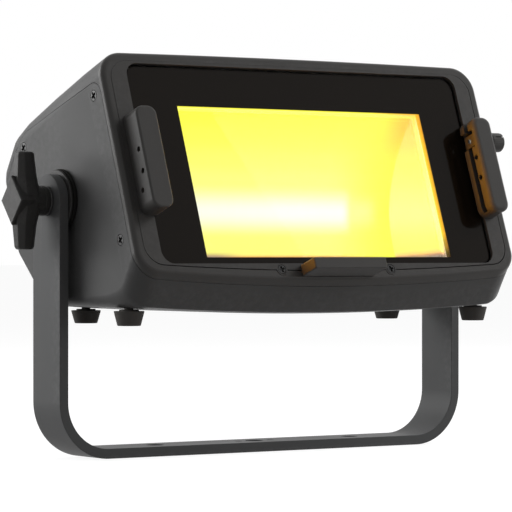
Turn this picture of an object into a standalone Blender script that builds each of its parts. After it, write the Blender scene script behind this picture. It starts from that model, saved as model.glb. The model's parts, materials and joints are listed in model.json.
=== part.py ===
"""Stage floodlight with an asymmetric reflector, in a floor-standing or hanging yoke.

Metres, +Z up. X runs across the lamp, and the light leaves towards -Y. The origin is the
middle of the yoke bar's underside, on the axis of its clamp hole.
Pieces of the front and the housing are drawn in the panel frame: x across, y up along the
glass, z outward from the glass's front face. That frame leans back by PANEL_TILT.
"""

import math

import bmesh
import bpy
from mathutils import Matrix, Vector

MM = 0.001

# General
GAP = 0.3 * MM
WALL = 3.0 * MM
ARC_STEPS = 5
BASE_ARC_STEPS = 3

# Head, the outer form
PANEL_TILT = math.radians(20)
PANEL_Y = -96.5 * MM
PANEL_Z = 143 * MM
HEAD_HALF = 162.5 * MM
HEAD_TOP = 148.4 * MM
HEAD_DEPTH = 152 * MM
CHIN_BOTTOM = -24.2 * MM
BASE_HEIGHT = 101 * MM
CHIN_BOW = 7.7 * MM
BASE_BOW = 6.2 * MM
CROWN = 1.2 * MM
TOP_RADIUS = 18.5 * MM
BASE_RADIUS = 8 * MM
SEAM_HEIGHT = HEAD_TOP - 18.3 * MM
SEAM_RISE = 2.7 * MM

# Tilt pivot and its clamps
PIVOT_HEIGHT = 180 * MM
STUD_RADIUS = 5.0 * MM
DISC_RADIUS = 22.2 * MM
DISC_THICKNESS = 2.4 * MM
SPACER_THICKNESS = 2.2 * MM
HUB_RADIUS = 10.5 * MM
WASHER_THICKNESS = 1.5 * MM
KNOB_SPAN = 68 * MM
KNOB_FACE_HEIGHT = 34.5 * MM
KNOB_FACE_WIDTH = 29 * MM
KNOB_REACH = 27.9 * MM
BLOCK_SIZE = 30 * MM
BLOCK_DEPTH = 12 * MM

# Yoke, a bent flat bar whose arms stand clear of the head by the discs between them
YOKE_DEPTH = 37 * MM
YOKE_THICKNESS = 7 * MM
YOKE_BEND_RADIUS = 40 * MM
YOKE_EDGE = 1.0 * MM
ARM_INNER = HEAD_HALF + DISC_THICKNESS + SPACER_THICKNESS + 3 * GAP
ARM_OUTER = ARM_INNER + YOKE_THICKNESS
CLAMP_HOLE_RADIUS = 6.75 * MM
BRACKET_HOLE_RADIUS = 6.25 * MM
BRACKET_HOLE_X = 85.5 * MM
SAFETY_HOLE_RADIUS = 2.6 * MM
SAFETY_HOLE_X = 14 * MM

# Front
BEZEL_FACE = 2.6 * MM
BEZEL_BACK = -3.0 * MM
BEZEL_EDGE = 3.6 * MM
OPENING_HALF = HEAD_HALF - 19.6 * MM
OPENING_BOTTOM = CHIN_BOTTOM + 16.4 * MM
OPENING_TOP = HEAD_TOP - 10.9 * MM
OPENING_CORNER = 9.5 * MM
FRAME_BORDER = 12.6 * MM
FRAME_BORDER_Y = 4.2 * MM
FRAME_CORNER = 12 * MM
GLASS_THICKNESS = 3 * MM
GLASS_LAP = 1.8 * MM
MASK_THICKNESS = 0.8 * MM
GASKET_THICKNESS = 2.0 * MM
GASKET_WIDTH = 5 * MM
FRAME_BACK = -GLASS_THICKNESS - MASK_THICKNESS - GASKET_THICKNESS - 2 * GAP
WINDOW_HALF = OPENING_HALF - 37.9 * MM
WINDOW_BOTTOM = OPENING_BOTTOM + 5.4 * MM
WINDOW_TOP = OPENING_TOP - 28.5 * MM
BULKHEAD_FRONT = FRAME_BACK - 0.4 * MM
BULKHEAD_THICKNESS = 3 * MM
FRAME_SCREW_X = 47 * MM
FRAME_SCREW_Y = OPENING_BOTTOM - 4.3 * MM
EAR_RADIUS = 5.6 * MM
FRAME_SCREW_HEAD = 3.4 * MM
SIDE_SCREW_HEAD = 4.2 * MM
SCREW_SHANK = 1.5 * MM
TAB_WIDTH = 11 * MM
TAB_THICKNESS = 2 * MM
SIDE_SCREWS = {
    "upper_front": (SEAM_HEIGHT - 9.8 * MM, -13.3 * MM),
    "upper_rear": (SEAM_HEIGHT - 7.6 * MM, 36.5 * MM - HEAD_DEPTH),
    "lower_front": (15.2 * MM, -14.2 * MM),
}

# Filter holders
HOLDER_OUTER = HEAD_HALF - 9.3 * MM
HOLDER_INNER = HOLDER_OUTER - 16.8 * MM
HOLDER_BOTTOM = 26.5 * MM
HOLDER_TOP = 100.3 * MM
HOLDER_FACE = 20.2 * MM
HOLDER_CORNER = 6.5 * MM
HOLDER_EDGE = 2.5 * MM
SLOT_BACK = 7.8 * MM
SLOT_FRONT = 12.2 * MM
SLOT_FLOOR = HOLDER_OUTER - 7.9 * MM
SLOT_END = HOLDER_BOTTOM + 4.5 * MM
CLIP_HOLES = (
    (HOLDER_BOTTOM + 14.5 * MM, SLOT_BACK + 2.2 * MM),
    (HOLDER_BOTTOM + 29 * MM, SLOT_FRONT + 2.4 * MM),
    (HOLDER_BOTTOM + 44.5 * MM, SLOT_FRONT + 2.4 * MM),
)
CLIP_HOLE_RADIUS = 1.6 * MM
LEDGE_HALF = 31 * MM
LEDGE_BOTTOM = OPENING_BOTTOM - 9.8 * MM
LEDGE_TOP = OPENING_BOTTOM - 1.4 * MM
LEDGE_FACE = 20 * MM

# Filter latch on the right holder
LATCH_Y = HOLDER_TOP - 15.8 * MM
LATCH_Z = 10.2 * MM
LATCH_BLOCK_Y = 12.6 * MM
LATCH_BLOCK_BACK = 4.4 * MM
LATCH_BLOCK_FRONT = 15.0 * MM
LATCH_BLOCK_X = (HOLDER_INNER + 1.2 * MM, HOLDER_INNER + 6.2 * MM)
LATCH_POCKET = HOLDER_OUTER - 2 * MM
LATCH_ROD_RADIUS = 2.0 * MM
LATCH_KNOB_RADIUS = 6.8 * MM
LATCH_KNOB_LENGTH = 11 * MM
LATCH_RIDGES = 14
SPRING_RADIUS = 3.6 * MM
SPRING_WIRE = 0.3 * MM
SPRING_TURNS = 2.5
SPRING_LENGTH = 1.4 * MM

# Light engine
REFLECTOR_HALF = WINDOW_HALF - 2 * MM
REFLECTOR_DEPTH = 60 * MM
REFLECTOR_DEEPEST = 25 * MM
REFLECTOR_FRONT = BULKHEAD_FRONT - BULKHEAD_THICKNESS - GAP
REFLECTOR_TOP = WINDOW_TOP - 2.2 * MM
REFLECTOR_FLANGE = 8 * MM
REFLECTOR_LIP = WINDOW_BOTTOM - 4.6 * MM
REFLECTOR_POWER = 2.3
SHEET = 0.9 * MM
BOARD_Y = OPENING_BOTTOM - 2.2 * MM
BOARD_Z = -28 * MM
BOARD_LEAN = math.radians(23.3)
BOARD_WIDTH = 15 * MM
BOARD_HALF = REFLECTOR_HALF - 8 * MM
BOARD_THICKNESS = 1.6 * MM
EMITTERS = 11
EMITTER_SIZE = 7 * MM
EMITTER_HEIGHT = 1.2 * MM

# Rear
REAR_HALF = HEAD_HALF - 17.8 * MM
REAR_BOTTOM = 58.3 * MM
REAR_TOP = HEAD_TOP - 39.7 * MM
REAR_FLANGE = 3.6 * MM
REAR_FACE = -HEAD_DEPTH
REAR_FLANGE_BACK = REAR_FACE + WALL + 2.5 * MM
FIN_LEFT = 17.7 * MM - REAR_HALF
FIN_RIGHT = -13 * MM
FIN_BOTTOM = REAR_BOTTOM + 4.7 * MM
FIN_TOP = REAR_TOP - 4.7 * MM
FIN_PITCH = 6.2 * MM
FIN_THICKNESS = 1.8 * MM
FIN_BASE = REAR_FACE + 24 * MM
FIN_BASE_THICKNESS = 4 * MM
FIN_TIP = REAR_FACE + 0.5 * MM
DISPLAY_X = 43 * MM
DISPLAY_Y = REAR_TOP - 15.7 * MM
DISPLAY_WIDTH = 42 * MM
DISPLAY_HEIGHT = 17 * MM
BUTTON_Y = REAR_BOTTOM + 12.7 * MM
BUTTON_X = (23 * MM, 36.5 * MM, 50 * MM, 63.5 * MM)
BUTTON_RADIUS = 4.4 * MM
BUTTON_PROUD = 1.6 * MM
BUTTON_TRAVEL = 1.0 * MM
SOCKET_FLANGE = 11.8 * MM
SOCKET_BODY = 9.3 * MM
SOCKET_BORE = 7.8 * MM
SOCKET_CORE = 5.2 * MM
SOCKET_PROUD = 2.6 * MM
SOCKET_DEPTH = 24 * MM
SOCKET_LOW = REAR_BOTTOM + 12.5 * MM
SOCKET_HIGH = REAR_TOP - 12.5 * MM
SOCKETS = {
    "power_inlet": (REAR_HALF - 54.7 * MM, SOCKET_LOW),
    "power_outlet": (REAR_HALF - 54.7 * MM, SOCKET_HIGH),
    "data_inlet": (REAR_HALF - 23.7 * MM, SOCKET_HIGH),
    "data_outlet": (REAR_HALF - 23.7 * MM, SOCKET_LOW),
}
CONTROL_BOARD_Z = REAR_FACE + 16 * MM
SUPPLY_WIDTH = 100 * MM
SUPPLY_HEIGHT = 44 * MM
SUPPLY_DEPTH = 33 * MM

# Feet
FRONT_FOOT_X = HEAD_HALF - 14.5 * MM
FRONT_FOOT_Y = -67.6 * MM
REAR_FOOT_X = HEAD_HALF - 29.5 * MM
REAR_FOOT_Y = 16.5 * MM
FOOT_BOTTOM = BASE_HEIGHT - 7 * MM
FOOT_RADIUS = 10.3 * MM
FOOT_NECK = 8 * MM
FOOT_STEM = 3.1 * MM

for old in list(bpy.data.objects):
    bpy.data.objects.remove(old, do_unlink=True)

parts = bpy.data.collections.new("floodlight")
cutters = bpy.data.collections.new("cutters")
bpy.context.scene.collection.children.link(parts)
bpy.context.scene.collection.children.link(cutters)


def material(name, colour, roughness, metallic=0.0):
    made = bpy.data.materials.new(name)
    made.use_nodes = True
    shader = made.node_tree.nodes["Principled BSDF"]
    shader.inputs["Base Color"].default_value = (*colour, 1.0)
    shader.inputs["Roughness"].default_value = roughness
    shader.inputs["Metallic"].default_value = metallic
    return made


YOKE_PAINT = material("yoke_paint", (0.11, 0.11, 0.11), 0.5)
HOUSING_PAINT = material("housing_paint", (0.09, 0.088, 0.085), 0.55)
BEZEL_PLASTIC = material("bezel_plastic", (0.05, 0.048, 0.046), 0.5)
HOLDER_PLASTIC = material("holder_plastic", (0.055, 0.053, 0.05), 0.45)
KNOB_PLASTIC = material("knob_plastic", (0.03, 0.03, 0.03), 0.45)
STEEL = material("steel", (0.4, 0.4, 0.4), 0.3, 1.0)
BLACK_STEEL = material("black_steel", (0.03, 0.03, 0.03), 0.4, 1.0)
FIBRE = material("fibre", (0.04, 0.04, 0.045), 0.8)
GLASS = material("glass", (0.8, 0.8, 0.8), 0.05)
MASK_PRINT = material("mask_print", (0.01, 0.01, 0.01), 0.2)
RUBBER = material("rubber", (0.02, 0.02, 0.02), 0.8)
REFLECTOR_METAL = material("reflector_metal", (0.9, 0.88, 0.8), 0.15, 1.0)
ALUMINIUM = material("aluminium", (0.55, 0.55, 0.55), 0.4, 1.0)
BOARD = material("board", (0.05, 0.15, 0.08), 0.5)
SUPPLY_METAL = material("supply_metal", (0.5, 0.5, 0.48), 0.4, 1.0)
DISPLAY = material("display", (0.02, 0.03, 0.04), 0.1)
BUTTON_RUBBER = material("button_rubber", (0.05, 0.05, 0.05), 0.7)
SOCKET_PLASTIC = material("socket_plastic", (0.03, 0.03, 0.035), 0.45)


def axis_empty(name, parent, location, rotation=(0.0, 0.0, 0.0)):
    empty = bpy.data.objects.new(name, None)
    parts.objects.link(empty)
    empty.parent = parent
    empty.location = location
    empty.rotation_euler = rotation
    return empty


# The head turns about HEAD, and PANEL is the leaning frame of its front.
HEAD = axis_empty("head_tilt_axis", None, (0.0, 0.0, PIVOT_HEIGHT))
PANEL = axis_empty(
    "panel_frame",
    HEAD,
    (0.0, PANEL_Y, PANEL_Z - PIVOT_HEIGHT),
    (math.pi / 2 - PANEL_TILT, 0.0, 0.0),
)


def finish(name, bm, paint, parent=None, location=(0.0, 0.0, 0.0), sharp=35.0):
    """Turns a bmesh into a part, shaded smooth where its faces meet at a shallow angle."""
    bmesh.ops.recalc_face_normals(bm, faces=bm.faces)
    mesh = bpy.data.meshes.new(name)
    bm.to_mesh(mesh)
    bm.free()
    mesh.shade_smooth()
    mesh.set_sharp_from_angle(angle=math.radians(sharp))
    made = bpy.data.objects.new(name, mesh)
    parts.objects.link(made)
    made.parent = parent
    made.location = location
    mesh.materials.append(paint)
    return made


def tool(name, bm, parent=None, location=(0.0, 0.0, 0.0)):
    """Turns a bmesh into a hidden tool for a Boolean."""
    bmesh.ops.recalc_face_normals(bm, faces=bm.faces)
    mesh = bpy.data.meshes.new(name)
    bm.to_mesh(mesh)
    bm.free()
    made = bpy.data.objects.new(name, mesh)
    cutters.objects.link(made)
    made.parent = parent
    made.location = location
    made.hide_render = True
    made.display_type = "WIRE"
    return made


def boolean(target, other, operation="DIFFERENCE"):
    modifier = target.modifiers.new(other.name, "BOOLEAN")
    modifier.operation = operation
    modifier.object = other


def bevel(target, width, segments=2, angle=40.0):
    modifier = target.modifiers.new("edges", "BEVEL")
    modifier.width = width
    modifier.segments = segments
    modifier.limit_method = "ANGLE"
    modifier.angle_limit = math.radians(angle)
    modifier.use_clamp_overlap = True


def add_box(bm, low, high):
    low = Vector(low)
    high = Vector(high)
    matrix = Matrix.Translation((low + high) / 2) @ Matrix.Diagonal((*(high - low), 1.0))
    return bmesh.ops.create_cube(bm, size=1.0, matrix=matrix)["verts"]


def add_cylinder(bm, radius, start, end, sides=24, end_radius=None):
    """A cylinder or cone from start to end."""
    start = Vector(start)
    end = Vector(end)
    along = end - start
    turn = Vector((0.0, 0.0, 1.0)).rotation_difference(along).to_matrix().to_4x4()
    bmesh.ops.create_cone(
        bm,
        cap_ends=True,
        segments=sides,
        radius1=radius,
        radius2=radius if end_radius is None else end_radius,
        depth=along.length,
        matrix=Matrix.Translation((start + end) / 2) @ turn,
    )


def add_loft(bm, rings, closed_ends=True):
    """Joins rings of points, each as long as the next, and caps the first and the last."""
    loops = [[bm.verts.new(point) for point in ring] for ring in rings]
    count = len(loops[0])
    for near, far in zip(loops, loops[1:]):
        for i in range(count):
            j = (i + 1) % count
            bm.faces.new((near[i], near[j], far[j], far[i]))
    if closed_ends:
        bm.faces.new(reversed(loops[0]))
        bm.faces.new(loops[-1])
    return loops


def arc(centre, radius, start, end, steps):
    """Points on an arc, angles in degrees, both ends included."""
    angles = [math.radians(start + (end - start) * i / steps) for i in range(steps + 1)]
    return [
        (centre[0] + radius * math.cos(a), centre[1] + radius * math.sin(a)) for a in angles
    ]


def rounded(left, right, bottom, top, radius, steps=ARC_STEPS):
    """A rectangle with round corners, anticlockwise from its lower right corner."""
    r = radius
    return (
        arc((right - r, bottom + r), r, -90, 0, steps)
        + arc((right - r, top - r), r, 0, 90, steps)
        + arc((left + r, top - r), r, 90, 180, steps)
        + arc((left + r, bottom + r), r, 180, 270, steps)
    )


def plate(outline, back, front):
    """A flat outline in x and y, made solid from back to front along z."""
    bm = bmesh.new()
    add_loft(bm, [[(x, y, z) for x, y in outline] for z in (back, front)])
    return bm


def profile_bar(outline, left, right):
    """An outline in z and y, made solid from left to right along x."""
    bm = bmesh.new()
    add_loft(bm, [[(x, y, z) for z, y in outline] for x in (left, right)])
    return bm


def turned(name, profile, paint, parent, location, along, sides=16):
    """Turns a profile of (radius, height) points, listed from its top to its bottom."""
    bm = bmesh.new()
    points = [bm.verts.new((radius, 0.0, height)) for radius, height in profile]
    for first, second in zip(points, points[1:]):
        bm.edges.new((first, second))
    mesh = bpy.data.meshes.new(name)
    bm.to_mesh(mesh)
    bm.free()
    made = bpy.data.objects.new(name, mesh)
    parts.objects.link(made)
    made.parent = parent
    made.location = location
    made.rotation_euler = Vector((0.0, 0.0, 1.0)).rotation_difference(Vector(along)).to_euler()
    mesh.materials.append(paint)
    screw = made.modifiers.new("turn", "SCREW")
    screw.axis = "Z"
    screw.steps = sides
    screw.render_steps = sides
    screw.use_merge_vertices = True
    screw.merge_threshold = 0.00001
    screw.use_smooth_shade = True
    return made


# Yoke


def yoke_path():
    """Points, outward normals and half widths of the bar, from the left arm's top round."""
    inset = YOKE_THICKNESS / 2
    side = ARM_OUTER - inset
    bend = YOKE_BEND_RADIUS - inset
    crown = YOKE_DEPTH / 2
    path = []
    for i in range(1, 7):
        angle = math.radians(90 - i * 90 / 7)
        rise = crown * math.sin(angle)
        half = math.sqrt(crown**2 - rise**2)
        path.append(((side, PIVOT_HEIGHT + rise), (1.0, 0.0), half))
    path.append(((side, PIVOT_HEIGHT), (1.0, 0.0), crown))
    for i in range(7):
        angle = math.radians(-i * 90 / 6)
        centre = (side - bend, YOKE_BEND_RADIUS)
        normal = (math.cos(angle), math.sin(angle))
        point = (centre[0] + bend * normal[0], centre[1] + bend * normal[1])
        path.append((point, normal, crown))
    right = path
    left = [((-p[0], p[1]), (-n[0], n[1]), half) for p, n, half in reversed(path)]
    return right + left


def yoke_ring(point, normal, half):
    """The bar's eight-sided section, square to its path."""
    t = YOKE_THICKNESS / 2
    c = YOKE_EDGE
    corners = (
        (half, t - c),
        (half - c, t),
        (c - half, t),
        (-half, t - c),
        (-half, c - t),
        (c - half, -t),
        (half - c, -t),
        (half, c - t),
    )
    return [(point[0] + normal[0] * out, y, point[1] + normal[1] * out) for y, out in corners]


def make_yoke():
    bm = bmesh.new()
    add_loft(bm, [yoke_ring(*step) for step in yoke_path()])
    yoke = finish("yoke", bm, YOKE_PAINT)
    bar_holes = {
        "clamp_hole": (0.0, CLAMP_HOLE_RADIUS),
        "bracket_hole_left": (-BRACKET_HOLE_X, BRACKET_HOLE_RADIUS),
        "bracket_hole_right": (BRACKET_HOLE_X, BRACKET_HOLE_RADIUS),
        "safety_hole_left": (-SAFETY_HOLE_X, SAFETY_HOLE_RADIUS),
        "safety_hole_right": (SAFETY_HOLE_X, SAFETY_HOLE_RADIUS),
    }
    for name, (x, radius) in bar_holes.items():
        hole = bmesh.new()
        add_cylinder(hole, radius, (x, 0, -YOKE_THICKNESS), (x, 0, 2 * YOKE_THICKNESS), 12)
        boolean(yoke, tool(name, hole))
    hole = bmesh.new()
    reach = 2 * ARM_OUTER
    add_cylinder(hole, STUD_RADIUS + 1.2 * GAP, (-reach, 0, PIVOT_HEIGHT), (reach, 0, PIVOT_HEIGHT))
    boolean(yoke, tool("pivot_bore", hole))


# Tilt clamps, one for each side


def ring_profile(outer, inner, low, high, edge):
    """A washer's profile, closed on itself."""
    return [
        (inner, high),
        (outer - edge, high),
        (outer, high - edge),
        (outer, low + edge),
        (outer - edge, low),
        (inner, low),
        (inner, high),
    ]


def knob_section(z, half_x, half_y, centre_x):
    """An eight-sided section of the knob's grip."""
    k = 0.45
    corners = (
        (1, -k),
        (1, k),
        (k, 1),
        (-k, 1),
        (-1, k),
        (-1, -k),
        (-k, -1),
        (k, -1),
    )
    return [(centre_x + half_x * a, half_y * b, z) for a, b in corners]


def make_knob(side, name):
    """The grip with its two wings, its four-sided boss and its hub, about the pivot axis."""
    hub_start = ARM_OUTER + GAP + WASHER_THICKNESS + GAP
    face = ARM_OUTER + KNOB_REACH
    wing = hub_start + 0.6 * (face - hub_start)
    half = KNOB_SPAN / 2
    stations = (
        (-half, 5.0, 4.6, wing),
        (-half + 1.5 * MM, 6.2, 5.8, wing),
        (-0.5 * half, 7.6, 7.6, wing - 0.2 * MM),
        (-0.2 * half, 9.0, 10.4, wing - 0.6 * MM),
        (0.2 * half, 9.0, 10.4, wing - 0.6 * MM),
        (0.5 * half, 7.6, 7.6, wing - 0.2 * MM),
        (half - 1.5 * MM, 6.2, 5.8, wing),
        (half, 5.0, 4.6, wing),
    )
    bm = bmesh.new()
    rings = [
        knob_section(z, half_x * MM, half_y * MM, centre * side)
        for z, half_x, half_y, centre in stations
    ]
    add_loft(bm, rings)
    knob = finish(name, bm, KNOB_PLASTIC, None, (0, 0, PIVOT_HEIGHT))
    boss = bmesh.new()
    steps = ((face, 0.93), (face - 0.9 * MM, 1.0), (wing - 3 * MM, 0.86))
    diamond = [
        [
            (x * side, 0.5 * KNOB_FACE_WIDTH * k, 0.0),
            (x * side, 0.0, 0.5 * KNOB_FACE_HEIGHT * k),
            (x * side, -0.5 * KNOB_FACE_WIDTH * k, 0.0),
            (x * side, 0.0, -0.5 * KNOB_FACE_HEIGHT * k),
        ]
        for x, k in steps
    ]
    add_loft(boss, diamond)
    boolean(knob, tool(name + "_boss", boss, None, (0, 0, PIVOT_HEIGHT)), "UNION")
    hub = bmesh.new()
    add_cylinder(hub, HUB_RADIUS, (hub_start * side, 0, 0), (wing * side, 0, 0), 28)
    boolean(knob, tool(name + "_hub", hub, None, (0, 0, PIVOT_HEIGHT)), "UNION")
    bore = bmesh.new()
    add_cylinder(
        bore,
        STUD_RADIUS + GAP,
        ((hub_start - 2 * MM) * side, 0, 0),
        ((face - 10 * MM) * side, 0, 0),
        20,
    )
    boolean(knob, tool(name + "_bore", bore, None, (0, 0, PIVOT_HEIGHT)))
    return face - 10 * MM - GAP


def make_clamp(side, tag):
    pivot = (0, 0, PIVOT_HEIGHT)
    outward = (side, 0, 0)
    bore = STUD_RADIUS + 1.5 * GAP
    edge = 0.4 * MM
    disc_in = HEAD_HALF + GAP
    washer = ring_profile(HUB_RADIUS, bore, ARM_OUTER + GAP, ARM_OUTER + GAP + WASHER_THICKNESS, edge)
    turned("clamp_washer_" + tag, washer, BLACK_STEEL, None, pivot, outward)
    disc = ring_profile(DISC_RADIUS, bore, disc_in, disc_in + DISC_THICKNESS, edge)
    friction = turned("friction_disc_" + tag, disc, FIBRE, HEAD, (0, 0, 0), outward, 18)
    spacer_in = disc_in + DISC_THICKNESS + GAP
    spacer = ring_profile(DISC_RADIUS - 0.8 * MM, bore, spacer_in, spacer_in + SPACER_THICKNESS, edge)
    turned("yoke_spacer_" + tag, spacer, KNOB_PLASTIC, None, pivot, outward, 20)
    stud_end = make_knob(side, "clamp_knob_" + tag)
    block_out = HEAD_HALF - WALL - GAP
    block_in = block_out - BLOCK_DEPTH
    stud_start = block_in + 2 * MM
    stud_profile = [
        (0.0, stud_end),
        (STUD_RADIUS - edge, stud_end),
        (STUD_RADIUS, stud_end - edge),
        (STUD_RADIUS, stud_start + edge),
        (STUD_RADIUS - edge, stud_start),
        (0.0, stud_start),
    ]
    turned("clamp_stud_" + tag, stud_profile, STEEL, None, pivot, outward, 14)
    bm = bmesh.new()
    half = BLOCK_SIZE / 2
    xs = sorted((block_in * side, block_out * side))
    add_box(bm, (xs[0], -half, -half), (xs[1], half, half))
    block = finish("pivot_block_" + tag, bm, ALUMINIUM, HEAD)
    bevel(block, 1.0 * MM, 1)
    hole = bmesh.new()
    add_cylinder(hole, STUD_RADIUS + GAP, (0.8 * block_in * side, 0, 0), (disc_in * side, 0, 0), 20)
    boolean(block, tool("pivot_block_bore_" + tag, hole, HEAD))
    return friction


# Housing


def base_line(z):
    """Height along the panel at which the level base lies, at depth z in the panel frame."""
    return (BASE_HEIGHT - PANEL_Z - z * math.sin(PANEL_TILT)) / math.cos(PANEL_TILT)


def outer_stations():
    """Depth, top, bottom, half width, top and base corner radii and base bow of the skin."""
    deep = REAR_FACE
    front = BEZEL_BACK - GAP
    chin = -20 * MM
    knee = deep + 23 * MM
    top = HEAD_TOP
    half = HEAD_HALF
    t = TOP_RADIUS
    rear_t = TOP_RADIUS - 3 * MM
    r = BASE_RADIUS
    bow = BASE_BOW
    middle = 0.5 * (front + chin)
    return [
        (front, top, CHIN_BOTTOM, half, t, TOP_RADIUS, CHIN_BOW),
        (middle, top, 0.5 * (CHIN_BOTTOM + base_line(chin)), half, t, 2.1 * r, CHIN_BOW),
        (chin, top, base_line(chin) + 1.2 * MM, half, t, 1.6 * r, bow),
        (chin - 5 * MM, top, base_line(chin - 5 * MM) + 0.3 * MM, half, t, 1.3 * r, bow),
        (chin - 12 * MM, top, base_line(chin - 12 * MM), half, t, r, bow),
        (deep + 40 * MM, top - 3.2 * MM, base_line(deep + 40 * MM), half, t, r, bow),
        (deep + 28 * MM, top - 5.5 * MM, base_line(deep + 28 * MM) + 0.4 * MM, half, t, 1.1 * r, bow),
        (knee, top - 8.5 * MM, base_line(knee) + 4.2 * MM, half, rear_t, 1.2 * r, 0.9 * bow),
        (deep + 6 * MM, top - 21.5 * MM, REAR_BOTTOM - 18.8 * MM, half, rear_t, 1.8 * r, 0.2 * bow),
        (deep + 2.5 * MM, top - 27.2 * MM, REAR_BOTTOM - 12.5 * MM, half - 1.2 * MM, rear_t, 1.8 * r, 0.0),
        (deep + 0.6 * MM, top - 31.6 * MM, REAR_BOTTOM - 8 * MM, half - 3 * MM, rear_t, 1.8 * r, 0.0),
        (deep, top - 34.4 * MM, REAR_BOTTOM - 5.5 * MM, half - 5.2 * MM, rear_t, 1.8 * r, 0.0),
    ]


def section(z, top, bottom, half, top_radius, base_radius, bow):
    """The housing's section at depth z: a crowned top, a bowed base and round corners."""
    base_steps = 4
    top_steps = 4
    base_half = half - base_radius
    top_half = half - top_radius

    def base_at(x):
        return bottom + bow * (x / HEAD_HALF) ** 2

    def top_at(x):
        return top - CROWN * (x / HEAD_HALF) ** 2

    points = []
    for i in range(1, base_steps):
        x = base_half * (2 * i / base_steps - 1)
        points.append((x, base_at(x)))
    lift = base_at(base_half)
    drop = top_at(top_half)
    points += arc((base_half, lift + base_radius), base_radius, -90, 0, BASE_ARC_STEPS)
    points += arc((top_half, drop - top_radius), top_radius, 0, 90, ARC_STEPS)
    for i in range(1, top_steps):
        x = top_half * (1 - 2 * i / top_steps)
        points.append((x, top_at(x)))
    points += arc((-top_half, drop - top_radius), top_radius, 90, 180, ARC_STEPS)
    points += arc((-base_half, lift + base_radius), base_radius, 180, 270, BASE_ARC_STEPS)
    return [(x, y, z) for x, y in points]


def station_at(z, stations):
    """The station at any depth, read between its neighbours."""
    for near, far in zip(stations, stations[1:]):
        if far[0] <= z <= near[0]:
            share = (near[0] - z) / (near[0] - far[0])
            return [a + (b - a) * share for a, b in zip(near, far)]
    return list(stations[-1]) if z < stations[-1][0] else list(stations[0])


def inner_stations():
    """The stations of the inner skin, a wall thickness in from the outer ones."""
    outer = outer_stations()
    first = outer[0][0]
    depths = [outer[i][0] for i in (0, 1, 2, 4, 5, 7, 8)]
    depths.append(REAR_FACE + WALL)
    found = []
    for z in depths:
        back = 0.0 if z == first else 0.75 * WALL
        _, top, bottom, half, top_radius, radius, bow = station_at(z - back, outer)
        radius = max(radius - WALL, WALL)
        top -= 0.9 * WALL
        bottom += 0.9 * WALL
        found.append((z, top, bottom, half - WALL, top_radius - WALL, radius, bow))
    return found


def housing_shell():
    """The whole hollow casting, open at the front."""
    outer = [section(*station) for station in outer_stations()]
    inner = [section(*station) for station in inner_stations()]
    bm = bmesh.new()
    add_loft(bm, list(reversed(inner)) + outer)
    return bm


def seam_tool(name, shift):
    """Everything above the seam between the lower housing and the top cover."""
    reach = 2 * HEAD_HALF
    height = SEAM_HEIGHT + shift
    outline = [
        (20 * MM, height - 0.6 * MM),
        (REAR_FACE + 40 * MM, height + SEAM_RISE),
        (REAR_FACE + 26 * MM, height + SEAM_RISE - 8 * MM),
        (REAR_FACE - 10 * MM, height + SEAM_RISE - 37 * MM),
        (REAR_FACE - 10 * MM, height + 60 * MM),
        (20 * MM, height + 60 * MM),
    ]
    return tool(name, profile_bar(outline, -reach, reach), PANEL)


def screw_tab(name, side, y, z, top, front):
    """A tab behind the side wall, which a side screw goes through."""
    outer = HEAD_HALF - WALL - 7 * GAP
    xs = sorted((side * outer, side * (outer - TAB_THICKNESS)))
    bm = bmesh.new()
    half = TAB_WIDTH / 2
    add_box(bm, (xs[0], y - half, z - half), (xs[1], top, min(z + half, front)))
    return tool(name, bm, PANEL)


def screw_bore(name, side, y, z):
    """A side screw's clearance hole through the wall and what lies behind it."""
    bm = bmesh.new()
    inside = side * (HEAD_HALF - 4 * WALL)
    outside = side * (HEAD_HALF + WALL)
    add_cylinder(bm, SCREW_SHANK + GAP, (inside, y, z), (outside, y, z), 8)
    return tool(name, bm, PANEL)


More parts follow.
